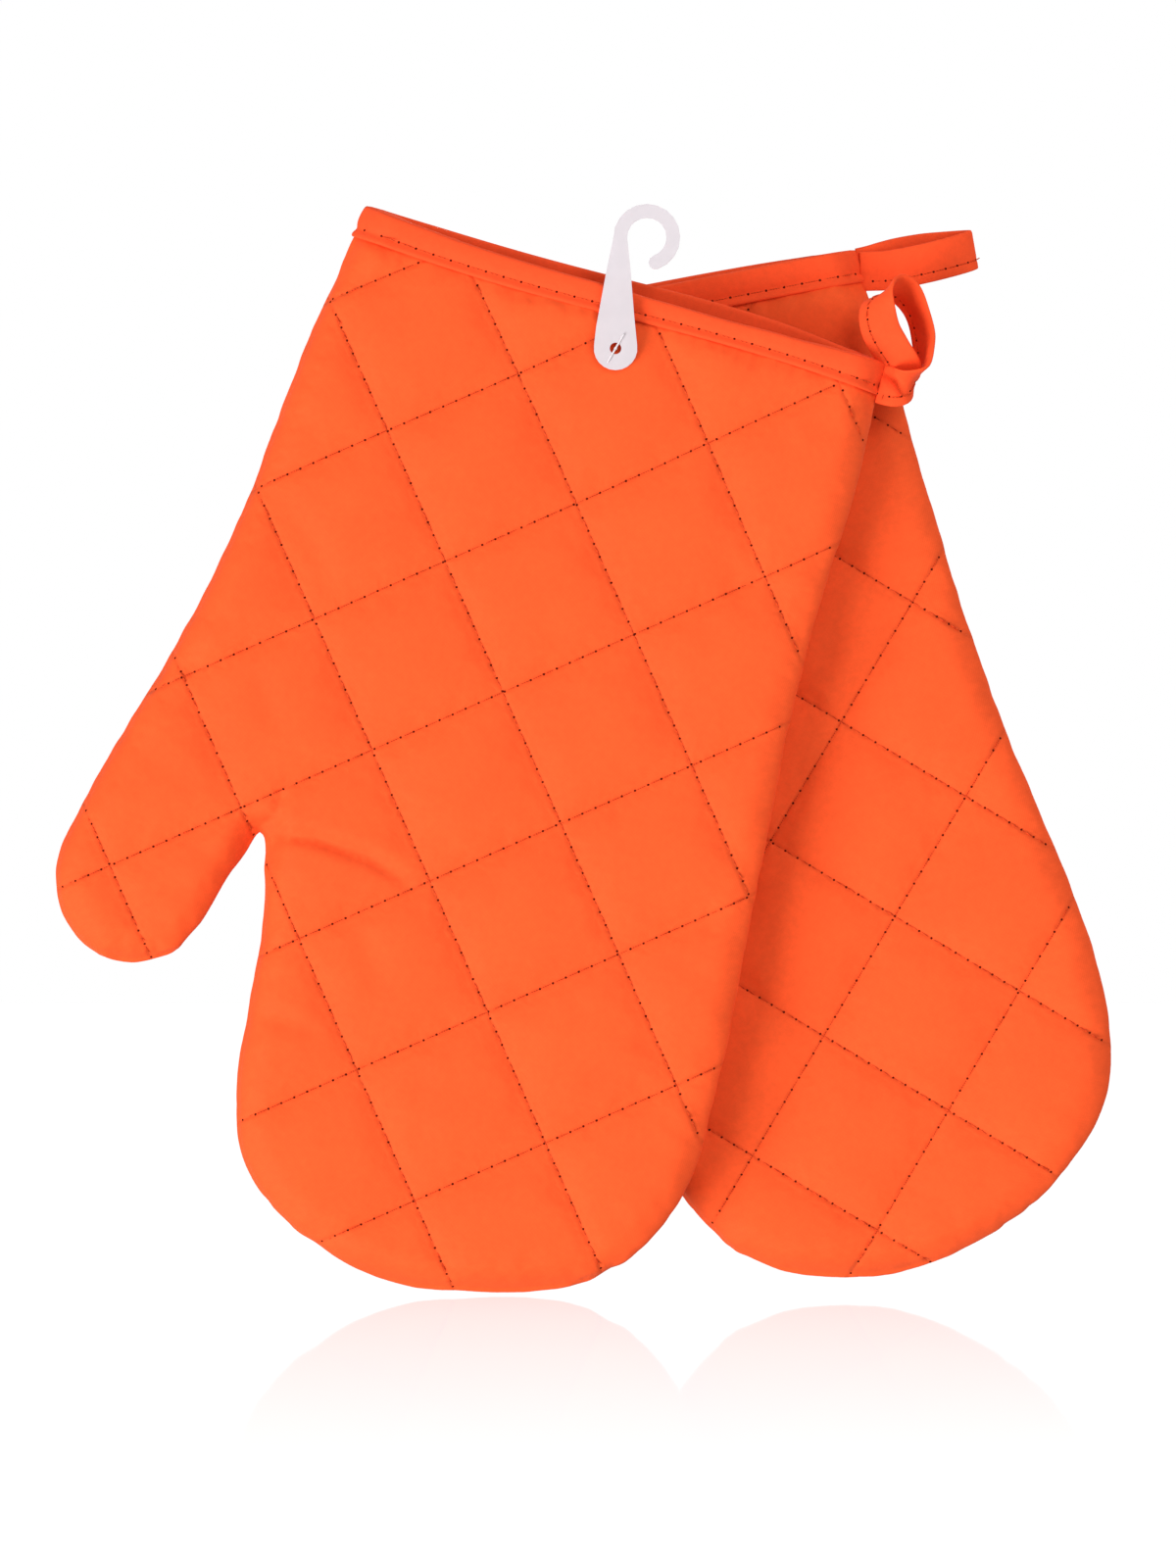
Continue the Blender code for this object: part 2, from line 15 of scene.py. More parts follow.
import bmesh
import bpy
from mathutils import Matrix, Vector, noise
from mathutils.geometry import delaunay_2d_cdt
from mathutils.kdtree import KDTree
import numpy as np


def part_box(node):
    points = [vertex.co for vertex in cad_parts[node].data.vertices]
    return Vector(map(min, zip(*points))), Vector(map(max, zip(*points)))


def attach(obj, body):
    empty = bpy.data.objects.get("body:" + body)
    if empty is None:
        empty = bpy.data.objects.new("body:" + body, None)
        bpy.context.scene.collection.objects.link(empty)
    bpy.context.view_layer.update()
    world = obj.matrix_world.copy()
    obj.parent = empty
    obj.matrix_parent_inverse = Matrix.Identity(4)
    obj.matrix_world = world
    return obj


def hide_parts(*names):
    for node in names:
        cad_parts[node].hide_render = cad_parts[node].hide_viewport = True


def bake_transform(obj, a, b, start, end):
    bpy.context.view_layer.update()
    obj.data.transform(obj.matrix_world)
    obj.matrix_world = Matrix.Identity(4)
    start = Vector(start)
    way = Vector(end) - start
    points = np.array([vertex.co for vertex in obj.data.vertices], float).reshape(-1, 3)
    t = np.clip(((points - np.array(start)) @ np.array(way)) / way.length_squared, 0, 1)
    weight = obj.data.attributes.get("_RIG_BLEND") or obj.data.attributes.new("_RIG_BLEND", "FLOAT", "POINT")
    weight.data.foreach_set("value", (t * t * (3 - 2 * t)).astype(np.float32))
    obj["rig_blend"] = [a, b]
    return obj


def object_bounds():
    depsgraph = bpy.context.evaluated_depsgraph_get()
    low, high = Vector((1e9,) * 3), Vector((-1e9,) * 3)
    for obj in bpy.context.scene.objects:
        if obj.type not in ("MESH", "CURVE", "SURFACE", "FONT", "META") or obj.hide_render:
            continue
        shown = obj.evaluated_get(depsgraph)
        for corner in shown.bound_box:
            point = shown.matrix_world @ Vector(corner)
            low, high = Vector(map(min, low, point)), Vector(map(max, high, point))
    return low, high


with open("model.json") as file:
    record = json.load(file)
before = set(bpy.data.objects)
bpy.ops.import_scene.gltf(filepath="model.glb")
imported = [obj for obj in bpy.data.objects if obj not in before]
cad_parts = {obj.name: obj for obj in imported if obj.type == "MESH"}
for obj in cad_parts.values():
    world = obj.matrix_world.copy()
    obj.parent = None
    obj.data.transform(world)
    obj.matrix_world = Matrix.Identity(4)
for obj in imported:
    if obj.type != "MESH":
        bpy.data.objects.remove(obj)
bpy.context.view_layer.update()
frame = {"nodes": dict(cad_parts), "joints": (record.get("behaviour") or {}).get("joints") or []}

# %% [markdown]
# ## Camera
#
# The pair is seen straight from the front, from a few metres away, so that depth hardly changes
# the size of things. A long lens keeps the front and the back mitt at nearly one scale. The
# picture's centre lies a little left of the hook, because the front thumb reaches out that way.

# %% Place the camera
view_distance = 3.0
view_height = 0.432
view_centre = Vector((-0.0162, 0.0, -0.1560))

camera_data = bpy.data.cameras.new("camera")
camera_data.sensor_width = 36.0
camera_data.lens = camera_data.sensor_width * view_distance / view_height
camera = bpy.data.objects.new("camera", camera_data)
bpy.context.scene.collection.objects.link(camera)
camera.location = view_centre - Vector((0, view_distance, 0))
camera.rotation_euler = (math.radians(90), 0, 0)
bpy.context.scene.camera = camera
print("lens:", round(camera_data.lens), "mm")

# %% [markdown]
# ## Cloth finishes
#
# The mitts are sewn from one bright orange plain-woven cotton. Seen close up it has a fine grid
# of threads and a soft sheen. An image could carry the weave, but a pattern made of nodes stays
# sharp at every distance. Here two rows of waves stand for the warp and the weft, and between the
# yarns the colour goes towards a darker one, as painted shade. A third mix of noise makes the
# yarns uneven, and the pattern follows each piece's own flat layout.

# %% Helpers for node trees
def feed(tree, slot, value):
    """Links a socket into a slot, or sets the slot where the value is a plain one."""
    if isinstance(value, bpy.types.NodeSocket):
        tree.links.new(value, slot)
    else:
        slot.default_value = value


def add_node(tree, kind, place, *inputs, **values):
    """Adds a node and feeds its inputs, in order or by name. Any other name is a setting of it."""
    node = tree.nodes.new(kind)
    node.location = place
    for name, value in values.items():
        label = name.replace("_", " ")
        if label in node.inputs:
            feed(tree, node.inputs[label], value)
        else:
            setattr(node, name, value)
    for slot, value in zip(node.inputs, inputs):
        feed(tree, slot, value)
    return node


def math_node(tree, operation, place, *values):
    return add_node(tree, "ShaderNodeMath", place, *values, operation=operation).outputs["Value"]


def map_range(tree, value, place, span, onto, **settings):
    """Adds a node that maps a value from one span onto another."""
    node = add_node(
        tree, "ShaderNodeMapRange", place, Value=value,
        From_Min=span[0], From_Max=span[1], To_Min=onto[0], To_Max=onto[1], **settings
    )
    return node.outputs["Result"]


def texture(tree, kind, place, vector, **values):
    """Adds a wave or a noise that reads the given coordinates."""
    return add_node(tree, kind, place, Vector=vector, **values).outputs["Fac"]


def mix_colours(tree, place, share, low, high):
    """Adds a node that goes from one colour to another as a share goes from 0 to 1."""
    node = add_node(tree, "ShaderNodeMix", place, data_type="RGBA", Factor=share)
    node.inputs[6].default_value = (*low, 1.0)
    node.inputs[7].default_value = (*high, 1.0)
    return node.outputs[2]


def object_place(tree):
    """The coordinates of the object itself, for a pattern that stays on it."""
    return add_node(tree, "ShaderNodeTexCoord", (-900, 0)).outputs["Object"]


def new_material(name):
    material = bpy.data.materials.new(name)
    material.use_nodes = True
    tree = material.node_tree
    return material, tree, tree.nodes["Principled BSDF"]


def feed_surface(tree, surface, values):
    for label, value in values.items():
        feed(tree, surface.inputs[label], value)


# %% Woven cotton
yarn_pitch = 0.00036
yarn_relief = 0.00005
groove_depth = 0.00035
wave_scale = math.tau / (20 * yarn_pitch)


def stitch_groove(tree, layout):
    """Height of the cloth beside the quilting lines, and how much painted shade darkens it right on them.

    The squares map counts in quilting squares, so a whole number in it is a stitch line.
    """
    squares = add_node(tree, "ShaderNodeUVMap", (-1500, -900), uv_map="squares")
    split = add_node(tree, "ShaderNodeSeparateXYZ", (-1300, -900), squares.outputs["UV"])
    away = [
        math_node(tree, "PINGPONG", (-1100, -850 - 150 * number), split.outputs[axis], 0.5)
        for number, axis in enumerate("XY")
    ]
    near = math_node(tree, "MINIMUM", (-900, -900), *away)
    valley = map_range(
        tree, near, (-700, -850), (-0.016, 0.038), (0.0, 1.0), interpolation_type="SMOOTHERSTEP"
    )
    reach = map_range(tree, near, (-700, -1100), (0.01, 0.14), (1.0, 0.0))
    # Painted shade of the groove: the colour darkens right on the stitch lines.
    groove_shade = map_range(tree, near, (-700, -1350), (0.004, 0.020), (0.90, 1.0))
    pucker = texture(
        tree, "ShaderNodeTexNoise", (-900, -1200), layout, Scale=330.0, Detail=1.0, Distortion=0.4
    )
    gathered = math_node(tree, "MULTIPLY", (-500, -1100), reach, pucker)
    return math_node(tree, "ADD", (-350, -950), valley, gathered), groove_shade


def woven_cloth(name, color, shade, sheen, quilted=False):
    """Plain-woven cotton: warp and weft waves, painted shade between yarns, uneven yarns, slow changes of
    colour.
    """
    material, tree, surface = new_material(name)
    layout = add_node(tree, "ShaderNodeUVMap", (-1500, 0), uv_map="layout").outputs["UV"]
    bands = [
        texture(
            tree, "ShaderNodeTexWave", (-1250, 250 - 300 * number), layout,
            bands_direction=direction, Scale=wave_scale, Distortion=0.6,
            Detail=1.0, Detail_Scale=2.0
        )
        for number, direction in enumerate("XY")
    ]
    weave = math_node(tree, "MULTIPLY", (-1000, 150), *bands)
    spread = map_range(tree, weave, (-1000, -50), (0.0, 0.8), (0.55, 1.0))
    patch = texture(
        tree, "ShaderNodeTexNoise", (-1250, -400), layout, Scale=42.0, Detail=3.0, Roughness=0.55
    )
    slub = texture(
        tree, "ShaderNodeTexNoise", (-1250, -650), layout, Scale=480.0, Detail=4.0, Roughness=0.7
    )
    slow = map_range(tree, patch, (-1000, -400), (0.3, 0.7), (0.945, 1.035))
    fine = map_range(tree, slub, (-1000, -650), (0.3, 0.7), (0.93, 1.05))
    value = math_node(tree, "MULTIPLY", (-800, -450), slow, fine)
    bump = add_node(
        tree, "ShaderNodeBump", (-300, -250), Strength=0.35, Distance=yarn_relief, Height=weave
    )
    if quilted:
        height, groove_shade = stitch_groove(tree, layout)
        pressed = add_node(
            tree, "ShaderNodeBump", (-300, -500), Strength=1.0, Distance=groove_depth, Height=height
        )
        feed(tree, bump.inputs["Normal"], pressed.outputs["Normal"])
        # The groove's painted shade darkens the cloth's colour on the stitch lines.
        value = math_node(tree, "MULTIPLY", (-700, -300), value, groove_shade)
    # Painted shade in the weave: where the waves are low, between the yarns, the colour goes towards the
    # darker shade colour.
    yarns = mix_colours(tree, (-800, 200), spread, shade, color)
    tint = add_node(tree, "ShaderNodeHueSaturation", (-550, 200), Color=yarns, Value=value)
    feed_surface(tree, surface, {
        "Base Color": tint.outputs["Color"], "Normal": bump.outputs["Normal"],
        "Roughness": 0.78, "Specular IOR Level": 0.14,
        "Sheen Weight": sheen, "Sheen Roughness": 0.45, "Sheen Tint": (1.0, 0.62, 0.42, 1.0),
    })
    return material


outer_cloth = woven_cloth(
    "orange_cotton", (0.895, 0.103, 0.0211), (0.810, 0.064, 0.0111), sheen=0.04, quilted=True
)
tape_cloth = woven_cloth(
    "orange_binding_tape", (0.940, 0.088, 0.0200), (0.855, 0.061, 0.0122), sheen=0.05
)
# The lining's orange is darker than the outer cloth's: partly its own colour and partly painted shade of the
# mitt's inside.
lining_cloth = woven_cloth(
    "orange_lining", (0.760, 0.060, 0.012), (0.620, 0.042, 0.008), sheen=0.03
)
print("yarn pitch:", yarn_pitch * 1000, "mm")

# %% [markdown]
# ## Thread and needle holes
#
# The lockstitch shows as hairline stitches with a dark dot where the needle went through. The
# thread is a twisted orange yarn, so its material gets a fine slanted wave. It is darker than the
# cloth, partly its own colour and partly painted shade of the groove it lies in. The holes are
# painted shade: a deep shade of the cloth, because hardly any light comes back out of them.

# %% Thread and hole materials
def sewing_thread():
    material, tree, surface = new_material("orange_thread")
    twist = texture(
        tree, "ShaderNodeTexWave", (-650, 0), object_place(tree),
        bands_direction="DIAGONAL", Scale=700.0, Distortion=0.4
    )
    # The thread is darker than the cloth: partly its own colour and partly painted shade of the groove it
    # lies in.
    shade = mix_colours(tree, (-400, 0), twist, (0.42, 0.032, 0.007), (0.72, 0.072, 0.015))
    feed_surface(tree, surface, {
        "Base Color": shade, "Roughness": 0.6, "Specular IOR Level": 0.08,
    })
    return material


def needle_hole_shade():
    material, tree, surface = new_material("needle_hole_shade")
    # Painted shade: the hole is a bead coloured as the deep shade inside a needle hole, made uneven by a
    # noise.
    hole_shade_noise = texture(
        tree, "ShaderNodeTexNoise", (-650, 0), object_place(tree), Scale=300.0, Detail=1.0
    )
    shade = mix_colours(tree, (-400, 0), hole_shade_noise, (0.045, 0.004, 0.002), (0.150, 0.010, 0.004))
    feed_surface(tree, surface, {
        "Base Color": shade, "Roughness": 0.95, "Specular IOR Level": 0.0,
    })
    return material


thread = sewing_thread()
hole = needle_hole_shade()
print("sewing materials:", thread.name, hole.name)

# %% [markdown]
# ## Where each mitt lies
#
# Both mitts are cut alike. Each one turns on the tag pin, a different amount, so the pair fans
# out. It is easiest to shape a mitt flat and upright in its own layout, with the cuff's middle at
# zero, and then carry every point to its place with one matrix.

# %% Sizes and places of the mitts
mitt_length = 0.2815
mitt_width = 0.1940
cuff_width = 0.1494
quilt_pitch = 0.0395
rear_cuff_rise = 0.0016
rear_rise_depth = 0.0600
seam_allowance = 0.0050
pocket_edge = 0.0140
pocket_half = 0.0042
padding_depth = 0.0028
crown_limits = {"front": (0.0034, 0.0023), "back": (0.0032, 0.0029)}
crown_gain = 1.25
binding_width = 0.0094

joints = {joint["name"]: joint for joint in frame["joints"]}
mitts = {
    "front": {
        "turn": 17.5, "pin_across": 0.0025, "pin_below": 0.0178, "lean": 0.0,
        "quilt_turn": 41.3, "quilt_share": (0.217, 0.151), "seed": 3.0,
        "cuff_wave": 0.0016, "dips": True,
        "swells": ((0.0722, -0.2604, 0.0020, 0.016),),
    },
    "back": {
        "turn": -11.0, "pin_across": 0.0041, "pin_below": 0.0155, "lean": 0.042,
        "quilt_turn": 47.0, "quilt_share": (0.200, -0.260), "seed": 11.0,
        "cuff_wave": 0.0, "dips": False,
        "swells": (
            (0.0785, -0.0850, 0.0016, 0.035), (0.0870, -0.1950, 0.0036, 0.050),
            (0.0620, -0.2705, -0.0010, 0.035), (-0.0305, -0.2595, -0.0024, 0.018),
        ),
    },
}
for name, mitt in mitts.items():
    pin = Vector(joints[name + "_mitt_swing"]["pos_m"])
    turn = Matrix.Rotation(math.radians(mitt["turn"]), 4, "Y")
    cuff = Matrix.Translation(Vector((-mitt["pin_across"], 0, mitt["pin_below"])))
    mitt["place"] = Matrix.Translation(pin) @ turn @ cuff
    print(name, "mitt's cuff middle:", [round(v * 1000, 1) for v in mitt["place"].translation])

# %% [markdown]
# ## The cut outline
#
# The cloth follows one smooth line round the fingers, the crotch and the thumb. A Bezier curve
# through points with automatic handles gives that line, and the curve's own resolution says how
# fine it is. The two mitts are filled a little differently, so each has soft swells of its own.
# Where a quilting line runs into the side seam it pulls the edge in a little, and the sewn edge is
# never quite straight. At the sides of the picture a panel bulges over the seam and hides it, so
# the seam lies a little further in there. All are small moves along the edge's normal.

# %% Outline of a mitt
outline_shares = (
    (0.399, 0.124), (0.400, 0.249), (0.409, 0.355), (0.429, 0.480), (0.450, 0.611),
    (0.470, 0.746), (0.469, 0.824), (0.447, 0.873), (0.398, 0.918), (0.320, 0.962),
    (0.223, 0.988), (0.113, 1.003), (0.000, 0.992), (-0.088, 0.967), (-0.157, 0.922),
    (-0.187, 0.867), (-0.206, 0.782), (-0.224, 0.700), (-0.242, 0.654), (-0.254, 0.627),
    (-0.263, 0.619), (-0.268, 0.628), (-0.290, 0.682), (-0.311, 0.733), (-0.344, 0.767),
    (-0.398, 0.783), (-0.457, 0.776), (-0.507, 0.748), (-0.529, 0.708), (-0.523, 0.661),
    (-0.500, 0.586), (-0.472, 0.504), (-0.445, 0.419), (-0.427, 0.327), (-0.416, 0.206),
    (-0.405, 0.110),
)
outline_resolution = 8
edge_spacing = 0.0022
edge_sample = 0.0002
edge_pull = 0.0003
pull_reach = 0.0035
edge_ripple = 0.0003
ripple_waves = (70, 210)
cuff_fade = 0.012
side_start, side_span = 0.15, 0.75
side_fade = 0.020
seam_hide = 0.0013
bulge_from = 0.33
panel_reach = 0.0030
panel_peak = 0.0022
crotch = Vector((-0.0510, -0.1743))
crotch_clear = 0.017


def chain_length(points):
    return sum((end - start).length for start, end in zip(points, points[1:]))


def resample(points, spacing):
    """Points at an even spacing along a chain of points, both ends kept."""
    steps = [0.0]
    for start, end in zip(points, points[1:]):
        steps.append(steps[-1] + (end - start).length)
    count = max(2, round(steps[-1] / spacing))
    out = []
    number = 0
    for step in range(count + 1):
        target = steps[-1] * step / count
        while number < len(points) - 2 and steps[number + 1] < target:
            number += 1
        share = (target - steps[number]) / (steps[number + 1] - steps[number])
        out.append(points[number].lerp(points[number + 1], min(1.0, share)))
    return out


def inward_at(edge, number):
    """The direction from one point of an edge into the cloth."""
    before = edge[max(0, number - 1)]
    after = edge[min(len(edge) - 1, number + 1)]
    along = (after - before).normalized()
    return Vector((along.y, -along.x))


def smooth_outline():
    half = cuff_width / 2
    shares = [(across * mitt_width, -down * mitt_length) for across, down in outline_shares]
    corners = [Vector(place) for place in ((half, 0), *shares, (-half, 0))]
    curve = bpy.data.curves.new("outline", "CURVE")
    curve.resolution_u = outline_resolution
    spline = curve.splines.new("BEZIER")
    spline.bezier_points.add(len(corners) - 1)
    for point, corner in zip(spline.bezier_points, corners):
        point.co = (*corner, 0)
        point.handle_left_type = point.handle_right_type = "AUTO"
    guide = bpy.data.objects.new("outline", curve)
    points = [vertex.co.to_2d() for vertex in guide.to_mesh().vertices]
    guide.to_mesh_clear()
    bpy.data.objects.remove(guide)
    return resample(points, edge_spacing)


outline = smooth_outline()
print("side seam:", round(chain_length(outline) * 1000), "mm with", len(outline), "points")

# %% [markdown]
# ## Quilting lines
#
# Two sets of parallel stitch lines cross at right angles and hold the padding in squares. A point
# of the layout is read in the quilting's own directions, counted in squares: whole numbers lie on
# a line, and halves lie in the middle of a square. That one reading drives the puffs, the pulls
# in the edge and the rows of stitches.

# %% Read a point in squares
def quilt_axes(mitt):
    across, down = mitt["quilt_share"]
    turn = math.radians(mitt["quilt_turn"])
    start = Vector((across * quilt_pitch, -down * quilt_pitch))
    first = Vector((math.cos(turn), math.sin(turn)))
    second = Vector((math.sin(turn), -math.cos(turn)))
    return start, first, second


def in_squares(mitt, point):
    start, first, second = quilt_axes(mitt)
    return (point - start).dot(first) / quilt_pitch, (point - start).dot(second) / quilt_pitch


def puff(mitt, point):
    """0 on a stitch line and 1 in the middle of a square."""
    full = 1.0
    for step in in_squares(mitt, point):
        share = step - math.floor(step)
        full *= 4.0 * share * (1.0 - share)
    return math.sqrt(max(0.0, full))


def side_share(mitt, outward, point):
    """1 where the edge faces right in the picture, -1 left, 0 at the tips, crotch and cuff."""
    turn = math.radians(mitt["turn"])
    across = outward.x * math.cos(turn) + outward.y * math.sin(turn)
    share = min(1.0, max(0.0, (abs(across) - side_start) / side_span))
    clear = 1.0 - math.exp(-(((point - crotch).length / crotch_clear) ** 2))
    below = min(1.0, max(0.0, (-point.y - cuff_fade) / side_fade))
    return math.copysign(share * share * (3.0 - 2.0 * share) * clear * below, across)


def swell(mitt, point):
    """How far the filled mitt stands out past the common cut, from its list of soft swells."""
    return sum(
        height * math.exp(-(((point - Vector((across, up))).length / reach) ** 2))
        for across, up, height, reach in mitt["swells"]
    )


def worked_outline(mitt):
    """The outline with its swells, its pulls at the stitch lines and its slight ripple."""
    moved = []
    for number, point in enumerate(outline):
        inward = inward_at(outline, number)
        spot = point + inward * seam_allowance
        near = min(abs(step - round(step)) for step in in_squares(mitt, spot)) * quilt_pitch
        pull = edge_pull * math.exp(-((near / pull_reach) ** 2))
        seeded = Vector((*point, mitt["seed"]))
        ripple = edge_ripple * sum(noise.noise(seeded * wave) for wave in ripple_waves)
        fade = min(1.0, -point.y / cuff_fade) if point.y < 0 else 0.0
        over = max(0.0, abs(side_share(mitt, -inward, point)) - bulge_from)
        hidden = seam_hide * over / (1.0 - bulge_from)
        moved.append(point + inward * ((pull + ripple) * fade + hidden - swell(mitt, point)))
    return moved


for mitt in mitts.values():
    mitt["edge"] = worked_outline(mitt)
    samples = resample(mitt["edge"], edge_sample)
    tree = KDTree(len(samples))
    for number, point in enumerate(samples):
        tree.insert((*point, 0), number)
    tree.balance()
    mitt["edge_tree"] = tree
print("squares of", quilt_pitch * 1000, "mm, edge pulled in by up to", edge_pull * 1000, "mm")


# %% [markdown]
# ## The flat cut as a mesh
#
# The puffs are simulated, and cloth bends best on a regular net. The net here runs along the
# quilting, so every stitch line is a row of points that can be pinned. Rings of points follow the
# side seam, where the cloth rolls over. A Delaunay triangulation joins the net, the rings and
# the edge, and pairs of triangles are merged into squares again.

# %% Net of the cloth
net_share = 13
ring_depths = (0.0006, 0.0013, 0.0021, 0.0032)
ring_slack = 0.0001
ring_top = 0.0008
net_clear = 0.45
net_top_clear = 0.4
border_share = 0.97
half_reach = mitt_width * 0.6
weld_limit = 1e-6


def edge_distance(mitt, point):
    return mitt["edge_tree"].find((*point, 0))[2]


def inside_outline(edge, point):
    inside = False
    for a, b in zip(edge, edge[1:] + edge[:1]):
        if (a.y > point.y) != (b.y > point.y):
            if point.x < (b.x - a.x) * (point.y - a.y) / (b.y - a.y) + a.x:
                inside = not inside
    return inside


def flat_cut(mitt, spacing, rings, border=0.0):
    """Points and faces of the panel, and which points lie on its side edge."""
    edge = mitt["edge"]
    if border:
        edge = []
        for number, point in enumerate(mitt["edge"]):
            spot = point + inward_at(mitt["edge"], number) * border
            if edge_distance(mitt, spot) > border * border_share and spot.y < 0:
                edge.append(spot)
        edge = [Vector((edge[0].x, 0)), *edge, Vector((edge[-1].x, 0))]
    points = list(edge)
    mouth = resample([edge[-1], edge[0]], spacing)[1:-1]
    points += mouth
    chain = list(range(len(points)))
    for depth in rings:
        for number in range(1, len(edge) - 1):
            spot = edge[number] + inward_at(edge, number) * depth
            if abs(edge_distance(mitt, spot) - depth) < ring_slack and spot.y < -ring_top:
                points.append(spot)
    start, first, second = quilt_axes(mitt)
    reach = round((mitt_length + mitt_width) / spacing)
    clear = border + (rings[-1] if rings else 0.0) + spacing * net_clear
    for row in range(-reach, reach + 1):
        for column in range(-reach, reach + 1):
            spot = start + (first * row + second * column) * spacing
            if not -mitt_length < spot.y < -spacing * net_top_clear or abs(spot.x) > half_reach:
                continue
            if edge_distance(mitt, spot) > clear and inside_outline(edge, spot):
                points.append(spot)
    seam = list(zip(chain, chain[1:] + chain[:1]))
    made, _, faces, origins, _, _ = delaunay_2d_cdt(points, seam, [], 1, weld_limit)
    side = {number for number, sources in enumerate(origins) if any(s < len(edge) for s in sources)}
    return made, faces, side


for name, mitt in mitts.items():
    mitt["cut"] = flat_cut(mitt, quilt_pitch / net_share, ring_depths)
    print(name, "cut:", len(mitt["cut"][0]), "points,", len(mitt["cut"][1]), "triangles")

# %% [markdown]
# ## The bag before it is filled
#
# Two of these cuts make the outer bag, joined along the side seam and open at the mouth. At the
# seam the turned edge makes a thin roll with a groove behind it, and from there the padding rises
# to its full depth. The rear half of the cuff stands a little higher than the front half, as it
# does where the mitt is folded shut.

# %% Raise the bag from the flat cut
roll_half = 0.0010
roll_width = 0.0023
seam_half = 0.00045
groove_place = 0.0014
rise_width = 0.0072
plain_rise_width = 0.0062
rise_power = 0.70
full_half = pocket_half + padding_depth
first_puff = 0.0024
puff_width = 0.007
on_line_within = 0.0002
pinned_below_binding = 0.001
join_angle = math.radians(30)
join_skew = math.radians(35)


def rise(distance):
    """Half the bag's depth on a stitch line, at a distance from the side seam."""
    roll = roll_half * math.sin(math.pi * min(1.0, distance / roll_width))
    share = min(1.0, max(0.0, (distance - groove_place) / rise_width))
    bulge = math.sin(share * math.pi / 2) ** rise_power
    return max(roll, seam_half + (full_half - seam_half) * bulge)


def plain_rise(distance):
    """The same at the sides of the picture, where the panel bulges and the roll is hidden."""
    share = min(1.0, distance / plain_rise_width)
    return full_half * math.sin(share * math.pi / 2) ** rise_power


cuff_dips = (
    (-0.0747, 0.0), (-0.0660, 0.0008), (-0.0400, 0.0013), (-0.0100, 0.0016), (0.0100, 0.0024),
    (0.0300, 0.0028), (0.0500, 0.0022), (0.0660, 0.0010), (0.0747, 0.0),
)
dip_height = 0.0075
cuff_wave_start = 0.002
cuff_wave_length = 0.18
cuff_wave_lift = 0.2
rear_bulge_share = 0.5


def cuff_dip(mitt, across, height, side):
    """How far the front mitt's front edge sags, so the inside of its rear edge shows above it."""
    squash = max(0.0, 1.0 + min(0.0, height) / dip_height)
    if side > 0 or not mitt["dips"] or not squash:
        return 0.0
    for (start, low), (end, high) in zip(cuff_dips, cuff_dips[1:]):
        if start <= across <= end:
            share = (across - start) / (end - start)
            share = share * share * (3.0 - 2.0 * share)
            return squash * (low + (high - low) * share)
    return 0.0


def carry(mitt, point, depth, side):
    """A layout point at its place in the mitt, still in the mitt's own directions."""
    fade = max(0.0, 1.0 + point.y / rear_rise_depth)
    wave = math.sin(math.tau * (point.x - cuff_wave_start) / cuff_wave_length) + cuff_wave_lift
    lift = mitt["cuff_wave"] * wave * fade - cuff_dip(mitt, point.x, point.y, side)
    if side > 0:
        arch = max(0.0, 1.0 - (2.0 * point.x / cuff_width) ** 4)
        lift += rear_cuff_rise * fade * arch
    return Vector((point.x - mitt["lean"] * point.y, side * depth, point.y + lift))


def bulge_over(mitt, point, side):
    """The way a panel bulges past the seam, and how much of a side edge is near.

    The front panel hides the seam at the right of the picture. At the left the rear panel bulges
    more than the front panel and shows as a narrow strip.
    """
    nearest, _, distance = mitt["edge_tree"].find((*point, 0))
    if distance < 0.00001:
        return Vector((0, 0)), 0.0
    outward = (nearest.to_2d() - point).normalized()
    share = -side * side_share(mitt, outward, point)
    reach = share if share > 0 else -rear_bulge_share * share
    reach *= panel_reach * distance / panel_peak * math.exp(1.0 - distance / panel_peak)
    return outward * reach, abs(share)


def piece_from(bm, name, material=None):
    """Makes an object of what is drawn in bmesh."""
    mesh = bpy.data.meshes.new(name)
    bm.to_mesh(mesh)
    bm.free()
    if material:
        mesh.materials.append(material)
    piece = bpy.data.objects.new(name, mesh)
    bpy.context.scene.collection.objects.link(piece)
    return piece


def two_panels(bm, cut, layout, raised):
    """Draws the front and the rear panel of a cut, joined along the side edge.

    raised gives a point's place, from its number, its flat place and its side.
    """
    points, faces, side_points = cut
    shared = {}
    flat = {}
    for side in (-1, 1):
        partner = dict(shared)
        for number, point in enumerate(points):
            if number in shared:
                continue
            partner[number] = bm.verts.new(raised(number, point, side))
            flat[partner[number]] = point
            if number in side_points:
                shared[number] = partner[number]
        for face in faces:
            if all(number in side_points for number in face):
                continue
            made = bm.faces.new([partner[number] for number in (face if side < 0 else face[::-1])])
            for loop in made.loops:
                loop[layout].uv = flat[loop.vert]


